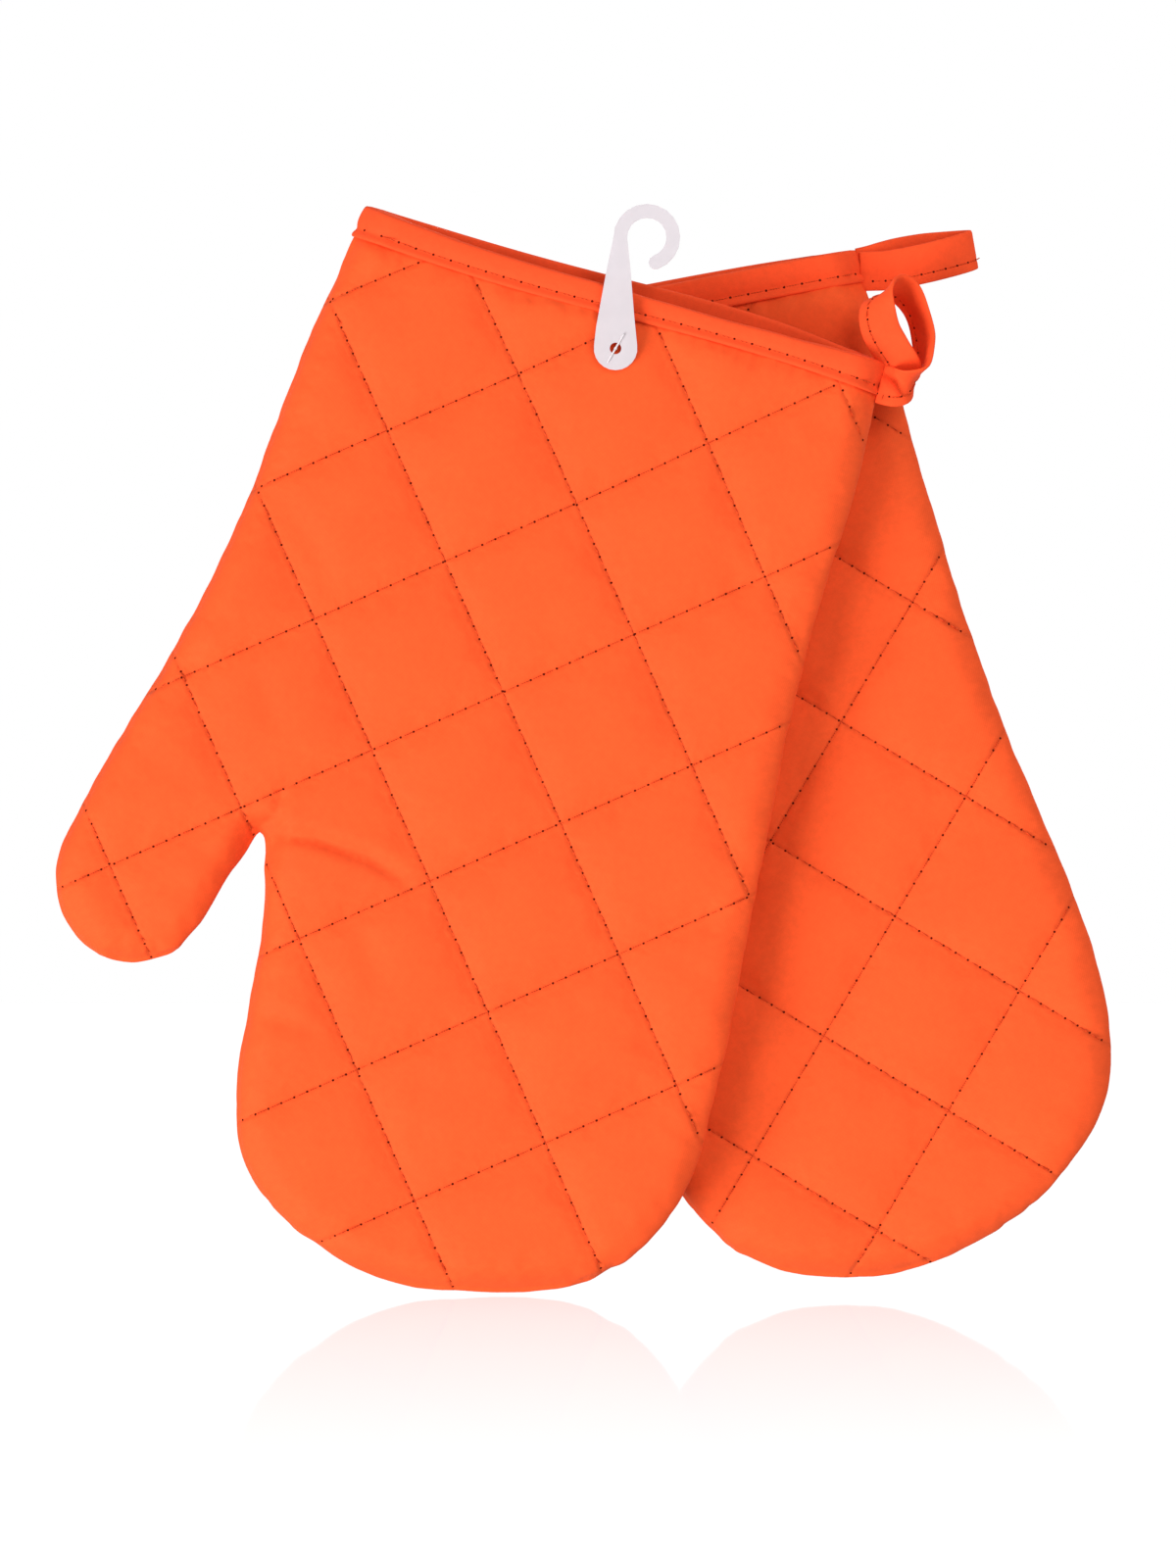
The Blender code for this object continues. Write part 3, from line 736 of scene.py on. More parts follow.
def raise_bag(name, mitt):
    """The bag before it is filled, with its sewn points in a vertex group."""
    seen = []
    pinned = []

    def raised(number, point, side):
        distance = edge_distance(mitt, point)
        squares = in_squares(mitt, point)
        away = min(abs(step - round(step)) for step in squares) * quilt_pitch
        held = away < on_line_within or point.y > -binding_width - pinned_below_binding
        bulge, share = bulge_over(mitt, point, side)
        depth = rise(distance) * (1.0 - share) + plain_rise(distance) * share
        if number in mitt["cut"][2]:
            depth = 0.0
        if not held:
            depth += first_puff * puff(mitt, point) * min(1.0, distance / puff_width)
        if held or distance < ring_depths[-1]:
            pinned.append(len(seen))
        seen.append(point + bulge)
        return carry(mitt, point, depth, side) + Vector((bulge.x, 0, bulge.y))

    bm = bmesh.new()
    layout = bm.loops.layers.uv.new("layout")
    squares_map = bm.loops.layers.uv.new("squares")
    two_panels(bm, mitt["cut"], layout, raised)
    bm.verts.index_update()
    for face in bm.faces:
        for loop in face.loops:
            loop[squares_map].uv = in_squares(mitt, seen[loop.vert.index])
    bmesh.ops.join_triangles(
        bm, faces=list(bm.faces),
        angle_face_threshold=join_angle, angle_shape_threshold=join_skew
    )
    bm.normal_update()
    bag = piece_from(bm, name)
    bag.vertex_groups.new(name="sewn").add(pinned, 1.0, "REPLACE")
    return bag


for name, mitt in mitts.items():
    mitt["bag"] = raise_bag(name + "_mitt_bag", mitt)
    print(mitt["bag"].name, len(mitt["bag"].data.vertices), "points")

# %% [markdown]
# ## Fill the squares
#
# The wadding presses the cloth outwards between the stitch lines. The puffs could be raised with
# a formula, but then every square would be alike and the cloth between two stitches would stay
# smooth. A short cloth simulation with pressure gives uneven puffs and the little puckers beside
# the stitches. The sewn points are pinned, the cloth is cut slightly too large, gravity is off,
# and the result is kept as a plain mesh.

# %% Simulate the padding
puff_frames = 22
puff_pressure = 3.2
cloth_excess = 0.005


def evaluated_mesh(obj):
    """A copy of the object's mesh with its modifiers in effect."""
    return bpy.data.meshes.new_from_object(obj.evaluated_get(bpy.context.evaluated_depsgraph_get()))


def fill_bag(bag):
    """Runs the cloth simulation and returns the filled mesh's points."""
    modifier = bag.modifiers.new("filling", "CLOTH")
    settings = modifier.settings
    settings.quality = 6
    settings.mass = 0.12
    settings.tension_stiffness = settings.compression_stiffness = 18
    settings.shear_stiffness = 6
    settings.bending_stiffness = 0.35
    settings.use_pressure = True
    settings.uniform_pressure_force = puff_pressure
    settings.vertex_group_mass = "sewn"
    settings.shrink_min = settings.shrink_max = -cloth_excess
    settings.effector_weights.gravity = 0.0
    modifier.collision_settings.use_collision = False
    modifier.collision_settings.use_self_collision = False
    modifier.point_cache.frame_start = 1
    modifier.point_cache.frame_end = puff_frames
    scene = bpy.context.scene
    for step in range(1, puff_frames + 1):
        scene.frame_set(step)
    filled = evaluated_mesh(bag)
    bag.modifiers.remove(modifier)
    points = [vertex.co.copy() for vertex in filled.vertices]
    bpy.data.meshes.remove(filled)
    scene.frame_set(1)
    return points


for name, mitt in mitts.items():
    bag = mitt["bag"]
    rest = [vertex.co.copy() for vertex in bag.data.vertices]
    mitt["filled"] = fill_bag(bag)
    moves = [(new - old).length * 1000 for new, old in zip(mitt["filled"], rest)]
    mean = sum(moves) / len(moves)
    print(name, "bag moved by up to", round(max(moves), 2), "mm, on average", round(mean, 2))

# %% [markdown]
# ## Creases and the finished bag
#
# Handling leaves a few soft valleys, mostly round the crotch where thumb and fingers pull apart.
# Before them the filled net gets slow and fine unevenness, and each puff's crown is held below a
# limit, so the two mitts never touch. One level of subdivision rounds the net off. Then the
# creases are pressed in along short lines, because only the finer net can hold a fold so narrow.
# At last the cloth gets its thickness.

# %% Creases
creases = {
    "front": (
        (
            (-0.0500, -0.1742), (-0.0368, -0.1715), (-0.0205, -0.1720), (-0.0060, -0.1758),
            0.0025, 0.0022,
        ),
        ((-0.0500, -0.1735), (-0.0478, -0.1680), (-0.0485, -0.1610), 0.0024, 0.0017),
        ((-0.0178, -0.1912), (-0.0110, -0.1985), (-0.0038, -0.2080), 0.0009, 0.0050),
        ((-0.0395, -0.2213), (-0.0177, -0.2221), 0.0009, 0.0036),
        ((-0.0727, -0.0845), (-0.0609, -0.0950), (-0.0483, -0.1080), 0.0011, 0.0050),
        ((-0.0640, -0.1330), (-0.0540, -0.1480), 0.0007, 0.0040),
        ((0.0560, -0.0700), (0.0440, -0.0600), 0.0008, 0.0044),
    ),
    "back": (
        ((-0.0490, -0.1745), (-0.0330, -0.1700), (-0.0150, -0.1730), 0.0019, 0.0027),
        ((-0.0490, -0.1745), (-0.0500, -0.1620), 0.0019, 0.0020),
        ((0.0480, -0.1010), (0.0360, -0.1180), 0.0010, 0.0050),
        ((0.0300, -0.2200), (0.0520, -0.2290), 0.0010, 0.0050),
    ),
}
crease_start = 0.12
crease_floor = 0.0030
flat_rim = 0.0033
slow_wave, slow_height = 28, 0.0008
fine_wave, fine_height = 95, 0.0005
gather_wave, gather_height = 120, 0.0011
gather_place, gather_width = 0.0065, 0.0055
cloth_thickness = 0.0005


def crease_depth(lines, point):
    """How deep the creases press the cloth in at a layout point.

    Each line lists its places, its deepest value and its width.
    """
    depth = 0.0
    for *places, deepest, width in lines:
        places = [Vector(place) for place in places]
        best = 0.0
        total = len(places) - 1
        for number, (start, end) in enumerate(zip(places, places[1:])):
            along = end - start
            share = min(1.0, max(0.0, (point - start).dot(along) / along.length_squared))
            gap = (point - start - along * share).length
            way = number + share
            fade = 0.0
            if way < total:
                turn = crease_start + (1.0 - crease_start) * way / total
                fade = math.sin(math.pi * turn) ** 0.5
            best = max(best, fade * math.exp(-((gap / width) ** 2)))
        depth += deepest * best
    return depth


def plain_mesh(obj):
    """Turns an object's modifiers into its mesh."""
    bpy.context.view_layer.update()
    plain = evaluated_mesh(obj)
    obj.modifiers.clear()
    obj.data = plain


def round_off(obj):
    rounding = obj.modifiers.new("rounding", "SUBSURF")
    rounding.levels = rounding.render_levels = 1
    rounding.boundary_smooth = "PRESERVE_CORNERS"
    plain_mesh(obj)


def give_thickness(obj, thickness):
    """Thickens a sheet towards its inner side."""
    modifier = obj.modifiers.new("thickness", "SOLIDIFY")
    modifier.thickness = thickness
    modifier.offset = -1.0
    plain_mesh(obj)


def layout_points(mesh):
    """Each vertex's place in the flat layout."""
    points = {}
    for loop, uv in zip(mesh.loops, mesh.uv_layers["layout"].data):
        points[loop.vertex_index] = uv.uv.copy()
    return points


def press_creases(name, mitt):
    mesh = mitt["bag"].data
    layout = layout_points(mesh)
    middle = mitt["place"].translation.y
    for vertex in mesh.vertices:
        depth = vertex.co.y - middle
        lines = creases[name] if depth < 0 else creases["back"]
        pressed = crease_depth(lines, layout[vertex.index])
        pressed = min(pressed, max(0.0, abs(depth) - crease_floor))
        vertex.co.y -= math.copysign(pressed, depth)


def finish_bag(name, mitt):
    bag = mitt["bag"]
    mesh = bag.data
    layout = layout_points(mesh)
    for vertex, filled in zip(mesh.vertices, mitt["filled"]):
        point = layout[vertex.index]
        side = -1.0 if vertex.co.y < 0 else 1.0
        distance = edge_distance(mitt, point)
        depth = abs(filled.y)
        if distance > flat_rim:
            soft = noise.noise(Vector((*point, mitt["seed"] + side)) * slow_wave) * slow_height
            soft += noise.noise(Vector((*point, mitt["seed"] - side)) * fine_wave) * fine_height
            depth += soft * puff(mitt, point)
            along = mitt["edge_tree"].find((*point, 0))[1] * edge_sample
            gather = noise.noise(Vector((along * gather_wave, mitt["seed"], side * 3.0)))
            near = math.exp(-(((distance - gather_place) / gather_width) ** 2))
            depth += gather * gather_height * near
            limit = crown_limits[name][0 if side < 0 else 1]
            crown = max(0.0, depth - full_half) * crown_gain
            mitt["crown"] = max(mitt.get("crown", 0.0), crown)
            depth = min(depth, full_half) + limit * math.tanh(crown / limit)
        vertex.co = (filled.x, side * depth if distance > 0.0001 else 0.0, filled.z)
    mesh.transform(mitt["place"])
    mesh.materials.append(outer_cloth)
    for face in mesh.polygons:
        face.use_smooth = True
    round_off(bag)
    press_creases(name, mitt)
    give_thickness(bag, cloth_thickness)
    return bag


for name, mitt in mitts.items():
    bag = finish_bag(name, mitt)
    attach(bag, name + "_mitt")
    layers = [side + "_" + layer for side in ("front", "rear") for layer in ("shell", "batting")]
    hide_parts(*[f"{name}_mitt_{layer}" for layer in layers])
    crown = round(1000 * mitt["crown"], 2)
    print(bag.name, len(bag.data.polygons), "faces, crowns up to", crown, "mm")

# %% [markdown]
# ## Lining
#
# Inside each mitt a plain lining closes the pocket for the hand. Only its top shows, in the shade
# between the front and the rear edge of the cuff. It is made from the same flat cut, on a coarser
# net, with its own lower rise, and it gets a thickness like any cloth.

# %% Sew the lining
lining_thickness = 0.0004
lining_net_share = 6
lining_seam_half = 0.00035
lining_height = pocket_half - 0.00015


def lining_rise(distance):
    """Half the pocket's depth at a distance from the mitt's side seam."""
    share = min(1.0, max(0.0, (distance - seam_allowance) / pocket_edge))
    return lining_seam_half + lining_height * math.sin(share * math.pi / 2)


def sew_lining(name, mitt):
    cut = flat_cut(mitt, quilt_pitch / lining_net_share, (), border=seam_allowance)

    def raised(number, point, side):
        depth = 0.0 if number in cut[2] else lining_rise(edge_distance(mitt, point))
        return carry(mitt, point, depth, side)

    bm = bmesh.new()
    two_panels(bm, cut, bm.loops.layers.uv.new("layout"), raised)
    for face in bm.faces:
        face.smooth = True
    area = sum(face.calc_area() for face in bm.faces)
    bmesh.ops.transform(bm, matrix=mitt["place"], verts=list(bm.verts))
    bm.normal_update()
    lining = piece_from(bm, name + "_mitt_lining", lining_cloth)
    give_thickness(lining, lining_thickness)
    return lining, area


for name, mitt in mitts.items():
    lining, area = sew_lining(name, mitt)
    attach(lining, name + "_mitt")
    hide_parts(name + "_mitt_front_lining", name + "_mitt_rear_lining")
    print(lining.name, round(area * 10000), "square cm of cloth")

# %% [markdown]
# ## Binding of the mouth
#
# A tape folded in half covers the raw edges all round the mouth. Its outer hem is a little thick,
# because the tape's own edge is turned under there, and the row of stitches presses a groove in
# it. The shape is one cross-section carried round a closed path. A curve with a bevel object could
# do that, but the inside of the mouth is shorter than the outside, so the section is lofted
# between an outer and an inner path instead.

# %% Loft the binding
binding_rows = (
    (0.0004, -0.0095), (0.0013, -0.0094), (0.0017, -0.0087), (0.0012, -0.0077), (0.00075, -0.0068),
    (0.0013, -0.0058), (0.0016, -0.0042), (0.0016, -0.0020), (0.0014, -0.0004), (0.0010, 0.0002),
)
binding_inner_rows = (
    (0.0010, 0.0003), (0.0014, -0.0004), (0.0014, -0.0022), (0.0013, -0.0050), (0.0013, -0.0084),
    (0.0009, -0.0092), (0.0004, -0.0090), (0.0004, -0.0040), (0.0005, -0.0006),
)
mouth_stations = 56
even_share = 0.65
inner_path_inset = 0.0075
least_mouth_half = 0.0008
slope_step = 0.0005
inner_step = 0.0005
least_inner_half = 0.00012
corner_share = 0.999
corner_slope = 6.0
tape_wave, tape_unevenness = 90, 0.10
layout_row = 0.0016


def edge_across(mitt, x, height):
    """How far out the mitt's edge lies at a height, on the side where x lies."""
    level = min(0.0, height)
    nearest = min(mitt["edge"], key=lambda p: abs(p.y - level) + (0 if p.x * x > 0 else 1))
    return abs(nearest.x)


def binding_ring(mitt, share, side):
    """The tape's section at one place of the mouth, as points in the mitt's own directions."""
    half = cuff_width / 2
    inner_half = half - inner_path_inset
    x = share * half
    inner_x = share * inner_half
    corner = abs(share) >= corner_share
    depth = max(rise(half - abs(x)), least_mouth_half)
    slope = corner_slope
    if not corner:
        slope = rise(half - abs(x) + slope_step) - rise(half - abs(x) - slope_step)
        slope /= 2 * slope_step
    lean_out = Vector((math.copysign(slope, x), 1.0)).normalized()
    wave = 1.0 + tape_unevenness * noise.noise(Vector((x * tape_wave, side * 5.0, mitt["seed"])))
    ring = []
    for out, height in binding_rows:
        out *= wave
        wider = max(0.0, edge_across(mitt, x, height) - half) * abs(share) ** 6
        across = x + math.copysign(wider, x) + lean_out.x * out
        ring.append((across, depth + lean_out.y * out, height))
    inner_depth = lining_rise(seam_allowance + (inner_half - abs(inner_x)) + inner_step)
    least = 0.0 if corner else least_inner_half
    for inward, height in binding_inner_rows:
        ring.append((inner_x, max(least, inner_depth - inward), height))
    lift = carry(mitt, Vector((x, 0)), 0.0, side).z + cuff_dip(mitt, x, 0.0, side)
    return [
        (across, side * deep, height + lift - cuff_dip(mitt, x, height, side))
        for across, deep, height in ring
    ]


def skin(bm, layout, rows, steps, spans):
    """Faces between neighbouring rows. The layout runs along the steps and across the spans."""
    run = 0.0
    for row, following, step in zip(rows, rows[1:], steps):
        for spot, (low, high) in enumerate(spans):
            after = (spot + 1) % len(spans)
            face = bm.faces.new((row[spot], row[after], following[after], following[spot]))
            face.smooth = True
            corners = ((run, low), (run, high), (run + step, high), (run + step, low))
            for loop, uv in zip(face.loops, corners):
                loop[layout].uv = uv
        run += step


def loft_binding(name, mitt):
    stations = []
    for number in range(mouth_stations + 1):
        crowded = math.sin(math.pi * (number / mouth_stations - 0.5))
        even = 2.0 * number / mouth_stations - 1.0
        stations.append((1.0 - even_share) * crowded + even_share * even)
    rings = [
        binding_ring(mitt, share, side)
        for side, order in ((-1, stations), (1, stations[::-1])) for share in order[:-1]
    ]
    bm = bmesh.new()
    layout = bm.loops.layers.uv.new("layout")
    rows = [[bm.verts.new((x - mitt["lean"] * z, y, z)) for x, y, z in ring] for ring in rings]
    rows.append(rows[0])
    steps = [(following[3].co - row[3].co).length for row, following in zip(rows, rows[1:])]
    spans = [(place * layout_row, (place + 1) * layout_row) for place in range(len(rows[0]))]
    skin(bm, layout, rows, steps, spans)
    bmesh.ops.recalc_face_normals(bm, faces=list(bm.faces))
    bmesh.ops.transform(bm, matrix=mitt["place"], verts=list(bm.verts))
    binding = piece_from(bm, name + "_mitt_binding_tape", tape_cloth)
    round_off(binding)
    return binding


for name, mitt in mitts.items():
    mitt["binding"] = loft_binding(name, mitt)
    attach(mitt["binding"], name + "_mitt")
    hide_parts(name + "_mitt_binding")
    print(mitt["binding"].name, len(mitt["binding"].data.polygons), "faces")

# %% [markdown]
# ## Hanging loops
#
# The binding runs on past the side seam and comes back on itself as a loop. The back mitt's loop
# lies flat and points outwards. The front mitt's loop is turned up and twisted, so its eye shows.
# A tape like this is a path with a direction for its width at each place. Smooth curves through
# both keep the twist soft, and the tape's rounded section is lofted along them.

# %% Smooth paths and the tape
tape_width = 0.0110
tape_thickness = 0.0010
loop_length = 0.0310
loop_eye = 0.0110
loop_hinge_out = 0.0040
loop_hinge_in = 0.0020
path_steps = 6
groove_share = 0.52
tape_front = (
    (1.0, 0.0), (0.985, 0.55), (0.93, 0.95), (0.72, 1.05), (groove_share, 0.80), (0.34, 1.0),
    (0.0, 1.0), (-0.52, 1.0), (-0.86, 1.0), (-0.97, 0.62), (-1.0, 0.0),
)
tape_section = (*tape_front, *[(across, -out) for across, out in tape_front[-2:0:-1]])


def through(values, steps=path_steps):
    """A Catmull-Rom curve through vectors, with a number of steps between two of them."""
    out = []
    last = len(values) - 1
    for number in range(last):
        p0, p1 = values[max(0, number - 1)], values[number]
        p2, p3 = values[number + 1], values[min(last, number + 2)]
        for step in range(steps):
            t = step / steps
            out.append(
                0.5 * ((2 * p1) + (p2 - p0) * t + (2 * p0 - 5 * p1 + 4 * p2 - p3) * t ** 2
                       + (3 * p1 - p0 - 3 * p2 + p3) * t ** 3)
            )
    return out + [values[-1].copy()]


def tape_frame(centres, widths, number):
    """The directions of the tape's width and of its face at one place of its path."""
    last = len(centres) - 1
    along = (centres[min(number + 1, last)] - centres[max(number - 1, 0)]).normalized()
    broad = (widths[number] - along * widths[number].dot(along)).normalized()
    return broad, along.cross(broad).normalized()


def lay_tape(name, centres, widths, place):
    """A folded tape: two soft edges, a flat middle and a groove for its row of stitches."""
    half, thick = tape_width / 2, tape_thickness / 2
    bm = bmesh.new()
    layout = bm.loops.layers.uv.new("layout")
    rows = []
    for number, centre in enumerate(centres):
        broad, flat = tape_frame(centres, widths, number)
        rows.append([
            bm.verts.new(centre - broad * half * across + flat * thick * out)
            for across, out in tape_section
        ])
    steps = [(end - start).length for start, end in zip(centres, centres[1:])]
    across = [spot[0] * half for spot in tape_section]
    skin(bm, layout, rows, steps, list(zip(across, across[1:] + across[:1])))
    bm.faces.new(rows[0][::-1])
    bm.faces.new(rows[-1])
    bmesh.ops.recalc_face_normals(bm, faces=list(bm.faces))
    bmesh.ops.transform(bm, matrix=place, verts=list(bm.verts))
    return piece_from(bm, name, tape_cloth)


# %% The upright loop of the front mitt
upright_loop_shares = (
    ((-0.085, 0.000, -0.040), (0.00, 1.00, 0.00)), ((0.060, 0.015, -0.060), (0.00, 1.00, -0.10)),
    ((0.165, 0.110, -0.060), (0.10, 0.70, -0.60)), ((0.240, 0.270, -0.010), (0.25, 0.12, -0.96)),
    ((0.170, 0.500, 0.090), (0.55, 0.00, -0.83)), ((0.050, 0.700, 0.110), (0.60, 0.15, -0.78)),
    ((-0.110, 0.840, 0.060), (0.56, 0.55, -0.60)), ((-0.235, 0.850, -0.020), (0.46, 0.80, -0.38)),
    ((-0.305, 0.740, -0.090), (0.50, 0.80, -0.32)), ((-0.300, 0.600, -0.130), (0.62, 0.72, -0.28)),
    ((-0.222, 0.450, -0.145), (0.80, 0.56, -0.22)), ((-0.090, 0.325, -0.120), (0.90, 0.40, -0.18)),
    ((0.050, 0.205, -0.040), (0.95, 0.28, -0.05)), ((0.060, 0.080, 0.025), (0.55, 0.83, 0.00)),
    ((0.000, 0.015, 0.045), (0.10, 1.00, 0.00)), ((-0.085, 0.000, 0.040), (0.00, 1.00, 0.00)),
)


def loop_place(name):
    """The loop's root in its mitt's own directions, at the joint that the record gives."""
    turn = Matrix.Rotation(math.radians(mitts[name]["turn"]), 4, "Y")
    joint = joints[name + ("_loop_flop" if name == "front" else "_loop_swing")]
    return Matrix.Translation(Vector(joint["pos_m"])) @ turn


centres = through([Vector((a, b, u)) * loop_length for (a, u, b), _ in upright_loop_shares])
centres = [centre - Vector((loop_hinge_out, 0, 0)) for centre in centres]
widths = through([Vector((a, b, u)) for _, (a, u, b) in upright_loop_shares])
front_loop = lay_tape("front_mitt_loop_tape", centres, widths, loop_place("front"))
front_loop_path = (centres, widths)
print("upright loop:", round(chain_length(centres) * 1000), "mm of tape")

# %% The flat loop of the back mitt
flat_loop_shares = (
    (-0.090, 0.040, -0.050), (0.030, 0.070, -0.070), (0.120, 0.120, -0.085),
    (0.280, 0.260, -0.095), (0.500, 0.430, -0.095), (0.700, 0.480, -0.085),
    (0.850, 0.360, -0.070), (0.930, 0.160, -0.055), (0.945, 0.000, -0.050),
    (0.930, -0.160, -0.045), (0.850, -0.360, -0.030), (0.700, -0.480, -0.010),
    (0.500, -0.430, 0.010), (0.280, -0.260, 0.012), (0.120, -0.120, 0.000),
    (0.030, -0.070, -0.010), (-0.090, -0.040, -0.015),
)
centres = through([
    Vector((a * loop_length - loop_hinge_out, -o * loop_eye, u * loop_length))
    for a, o, u in flat_loop_shares
])
widths = [Vector((0.02, 0, 1))] * len(centres)
back_loop = lay_tape("back_mitt_loop_tape", centres, widths, loop_place("back"))
back_loop_path = (centres, widths)
print("flat loop:", round(chain_length(centres) * 1000), "mm of tape")

# %% [markdown]
# ## Rows of stitches
#
# The quilting, the binding and the loops are all sewn with the same lockstitch: a short thread,
# a hole, and so on at an even pitch. That is a job for Geometry Nodes. The tree takes the
# stitch lines as thin guide lines that float in front of the cloth. It spaces points along them,
# shoots each point onto the cloth, and puts a thread and a hole there. The pitch, the thread's
# width and the cloth itself are inputs, so one tree sews every row.

# %% Build the stitch tree
shot_reach = 0.08
thread_share = 0.44
hole_flatness = 0.6


def stitch_tree():
    tree = bpy.data.node_groups.new("row_of_stitches", "GeometryNodeTree")
    sockets = {}
    for label, kind, value in (
        ("Guide lines", "NodeSocketGeometry", None), ("Cloth", "NodeSocketObject", None),
        ("Pitch", "NodeSocketFloat", 0.0039), ("Thread radius", "NodeSocketFloat", 0.00019),
        ("Hole radius", "NodeSocketFloat", 0.00038), ("Sunk", "NodeSocketFloat", 0.00003),
        ("Thread", "NodeSocketMaterial", None), ("Hole", "NodeSocketMaterial", None),
    ):
        socket = tree.interface.new_socket(name=label, in_out="INPUT", socket_type=kind)
        if value is not None:
            socket.default_value = value
        sockets[label] = socket.identifier
    tree.interface.new_socket(name="Stitches", in_out="OUTPUT", socket_type="NodeSocketGeometry")
    given = add_node(tree, "NodeGroupInput", (-1400, 0)).outputs
    result = add_node(tree, "NodeGroupOutput", (1500, 0))

    # Points at an even pitch along the guide lines, each shot onto the cloth.
    curve = add_node(tree, "GeometryNodeMeshToCurve", (-1200, 200), Mesh=given["Guide lines"])
    spaced = add_node(
        tree, "GeometryNodeResampleCurve", (-1000, 200), mode="LENGTH",
        Curve=curve.outputs["Curve"], Length=given["Pitch"]
    )
    cloth = add_node(
        tree, "GeometryNodeObjectInfo", (-1200, -200), transform_space="RELATIVE",
        Object=given["Cloth"]
    )
    toward = add_node(
        tree, "GeometryNodeInputNamedAttribute", (-1200, -450), data_type="FLOAT_VECTOR",
        Name="toward"
    )
    shot = add_node(
        tree, "GeometryNodeRaycast", (-750, -200), Target_Geometry=cloth.outputs["Geometry"],
        Ray_Direction=toward.outputs["Attribute"], Ray_Length=shot_reach
    ).outputs
    kept = add_node(tree, "GeometryNodeCaptureAttribute", (-500, 200), domain="POINT")
    kept.capture_items.new("VECTOR", "normal")
    kept.capture_items.new("BOOLEAN", "met")
    feed(tree, kept.inputs["Geometry"], spaced.outputs["Curve"])
    feed(tree, kept.inputs["normal"], shot["Hit Normal"])
    feed(tree, kept.inputs["met"], shot["Is Hit"])
    normal, met = kept.outputs["normal"], kept.outputs["met"]
    below = math_node(tree, "MULTIPLY", (-750, -500), given["Sunk"], -1.0)
    drop = add_node(
        tree, "ShaderNodeVectorMath", (-500, -200), shot["Hit Normal"], operation="SCALE",
        Scale=below
    )
    landing = add_node(
        tree, "ShaderNodeVectorMath", (-300, -200), shot["Hit Position"], drop.outputs["Vector"],
        operation="ADD"
    )
    laid = add_node(
        tree, "GeometryNodeSetPosition", (-100, 200), Geometry=kept.outputs["Geometry"],
        Selection=shot["Is Hit"], Position=landing.outputs["Vector"]
    ).outputs["Geometry"]

    # Each stitch lies flat on the cloth and points along its row.
    tangent = add_node(tree, "GeometryNodeInputTangent", (-100, -350)).outputs["Tangent"]
    upright = add_node(
        tree, "FunctionNodeAlignRotationToVector", (100, -200), axis="Z", Vector=normal
    )
    turned = add_node(
        tree, "FunctionNodeAlignRotationToVector", (300, -200), axis="X", pivot_axis="Z",
        Rotation=upright.outputs["Rotation"], Vector=tangent
    ).outputs["Rotation"]

    # A thread reaches from each point to the next one, so its middle is half a pitch further.
    half_thread = math_node(tree, "MULTIPLY", (-100, 500), given["Pitch"], thread_share)
    radius = given["Thread radius"]
    thread_size = add_node(tree, "ShaderNodeCombineXYZ", (100, 450), half_thread, radius, radius)
    half_pitch = math_node(tree, "MULTIPLY", (100, 50), given["Pitch"], 0.5)
    forward = add_node(
        tree, "ShaderNodeVectorMath", (300, 50), tangent, operation="SCALE", Scale=half_pitch
    )
    middles = add_node(
        tree, "GeometryNodeSetPosition", (500, 300), Geometry=laid,
        Offset=forward.outputs["Vector"]
    ).outputs["Geometry"]
    ends = add_node(
        tree, "GeometryNodeCurveEndpointSelection", (300, 500), Start_Size=0, End_Size=1
    )
    not_end = add_node(
        tree, "FunctionNodeBooleanMath", (500, 550), ends.outputs["Selection"], operation="NOT"
    )
    wanted = add_node(
        tree, "FunctionNodeBooleanMath", (650, 550), not_end.outputs[0], met, operation="AND"
    )
    radius = given["Hole radius"]
    flat = math_node(tree, "MULTIPLY", (300, -450), radius, hole_flatness)
    hole_size = add_node(tree, "ShaderNodeCombineXYZ", (500, -350), radius, radius, flat)

    # The same bead, stretched or flattened, is the thread and the hole.
    bead = add_node(tree, "GeometryNodeMeshUVSphere", (100, 600), Segments=6, Rings=4, Radius=1.0)
    joined = add_node(tree, "GeometryNodeJoinGeometry", (1300, 0))
    for points, selection, size, label, height in (
        (middles, wanted.outputs[0], thread_size, "Thread", 300),
        (laid, met, hole_size, "Hole", -100),
    ):
        placed = add_node(
            tree, "GeometryNodeInstanceOnPoints", (800, height), Points=points,
            Selection=selection, Instance=bead.outputs["Mesh"], Rotation=turned,
            Scale=size.outputs["Vector"]
        )
        real = add_node(
            tree, "GeometryNodeRealizeInstances", (950, height),
            Geometry=placed.outputs["Instances"]
        )
        paint = add_node(
            tree, "GeometryNodeSetMaterial", (1120, height), Geometry=real.outputs["Geometry"],
            Material=given[label]
        )
        feed(tree, joined.inputs["Geometry"], paint.outputs["Geometry"])
    feed(tree, result.inputs["Stitches"], joined.outputs["Geometry"])
    return tree, sockets


stitches, stitch_inputs = stitch_tree()
print("stitch tree:", len(stitches.nodes), "nodes, inputs", list(stitch_inputs))

# %% [markdown]
# The guide lines are plain chains of points. Each point carries the direction in which the tree
# shoots it onto the cloth. The quilting's guides start clear of the roll at the seam and end
# below the binding, where the real rows run under the tape.

# %% Sew along guide lines
guide_step = 0.0013
guide_standoff = 0.03
quilt_lines = 8
least_row = 5
below_binding = 0.0012
clear_of_seam = 0.0005


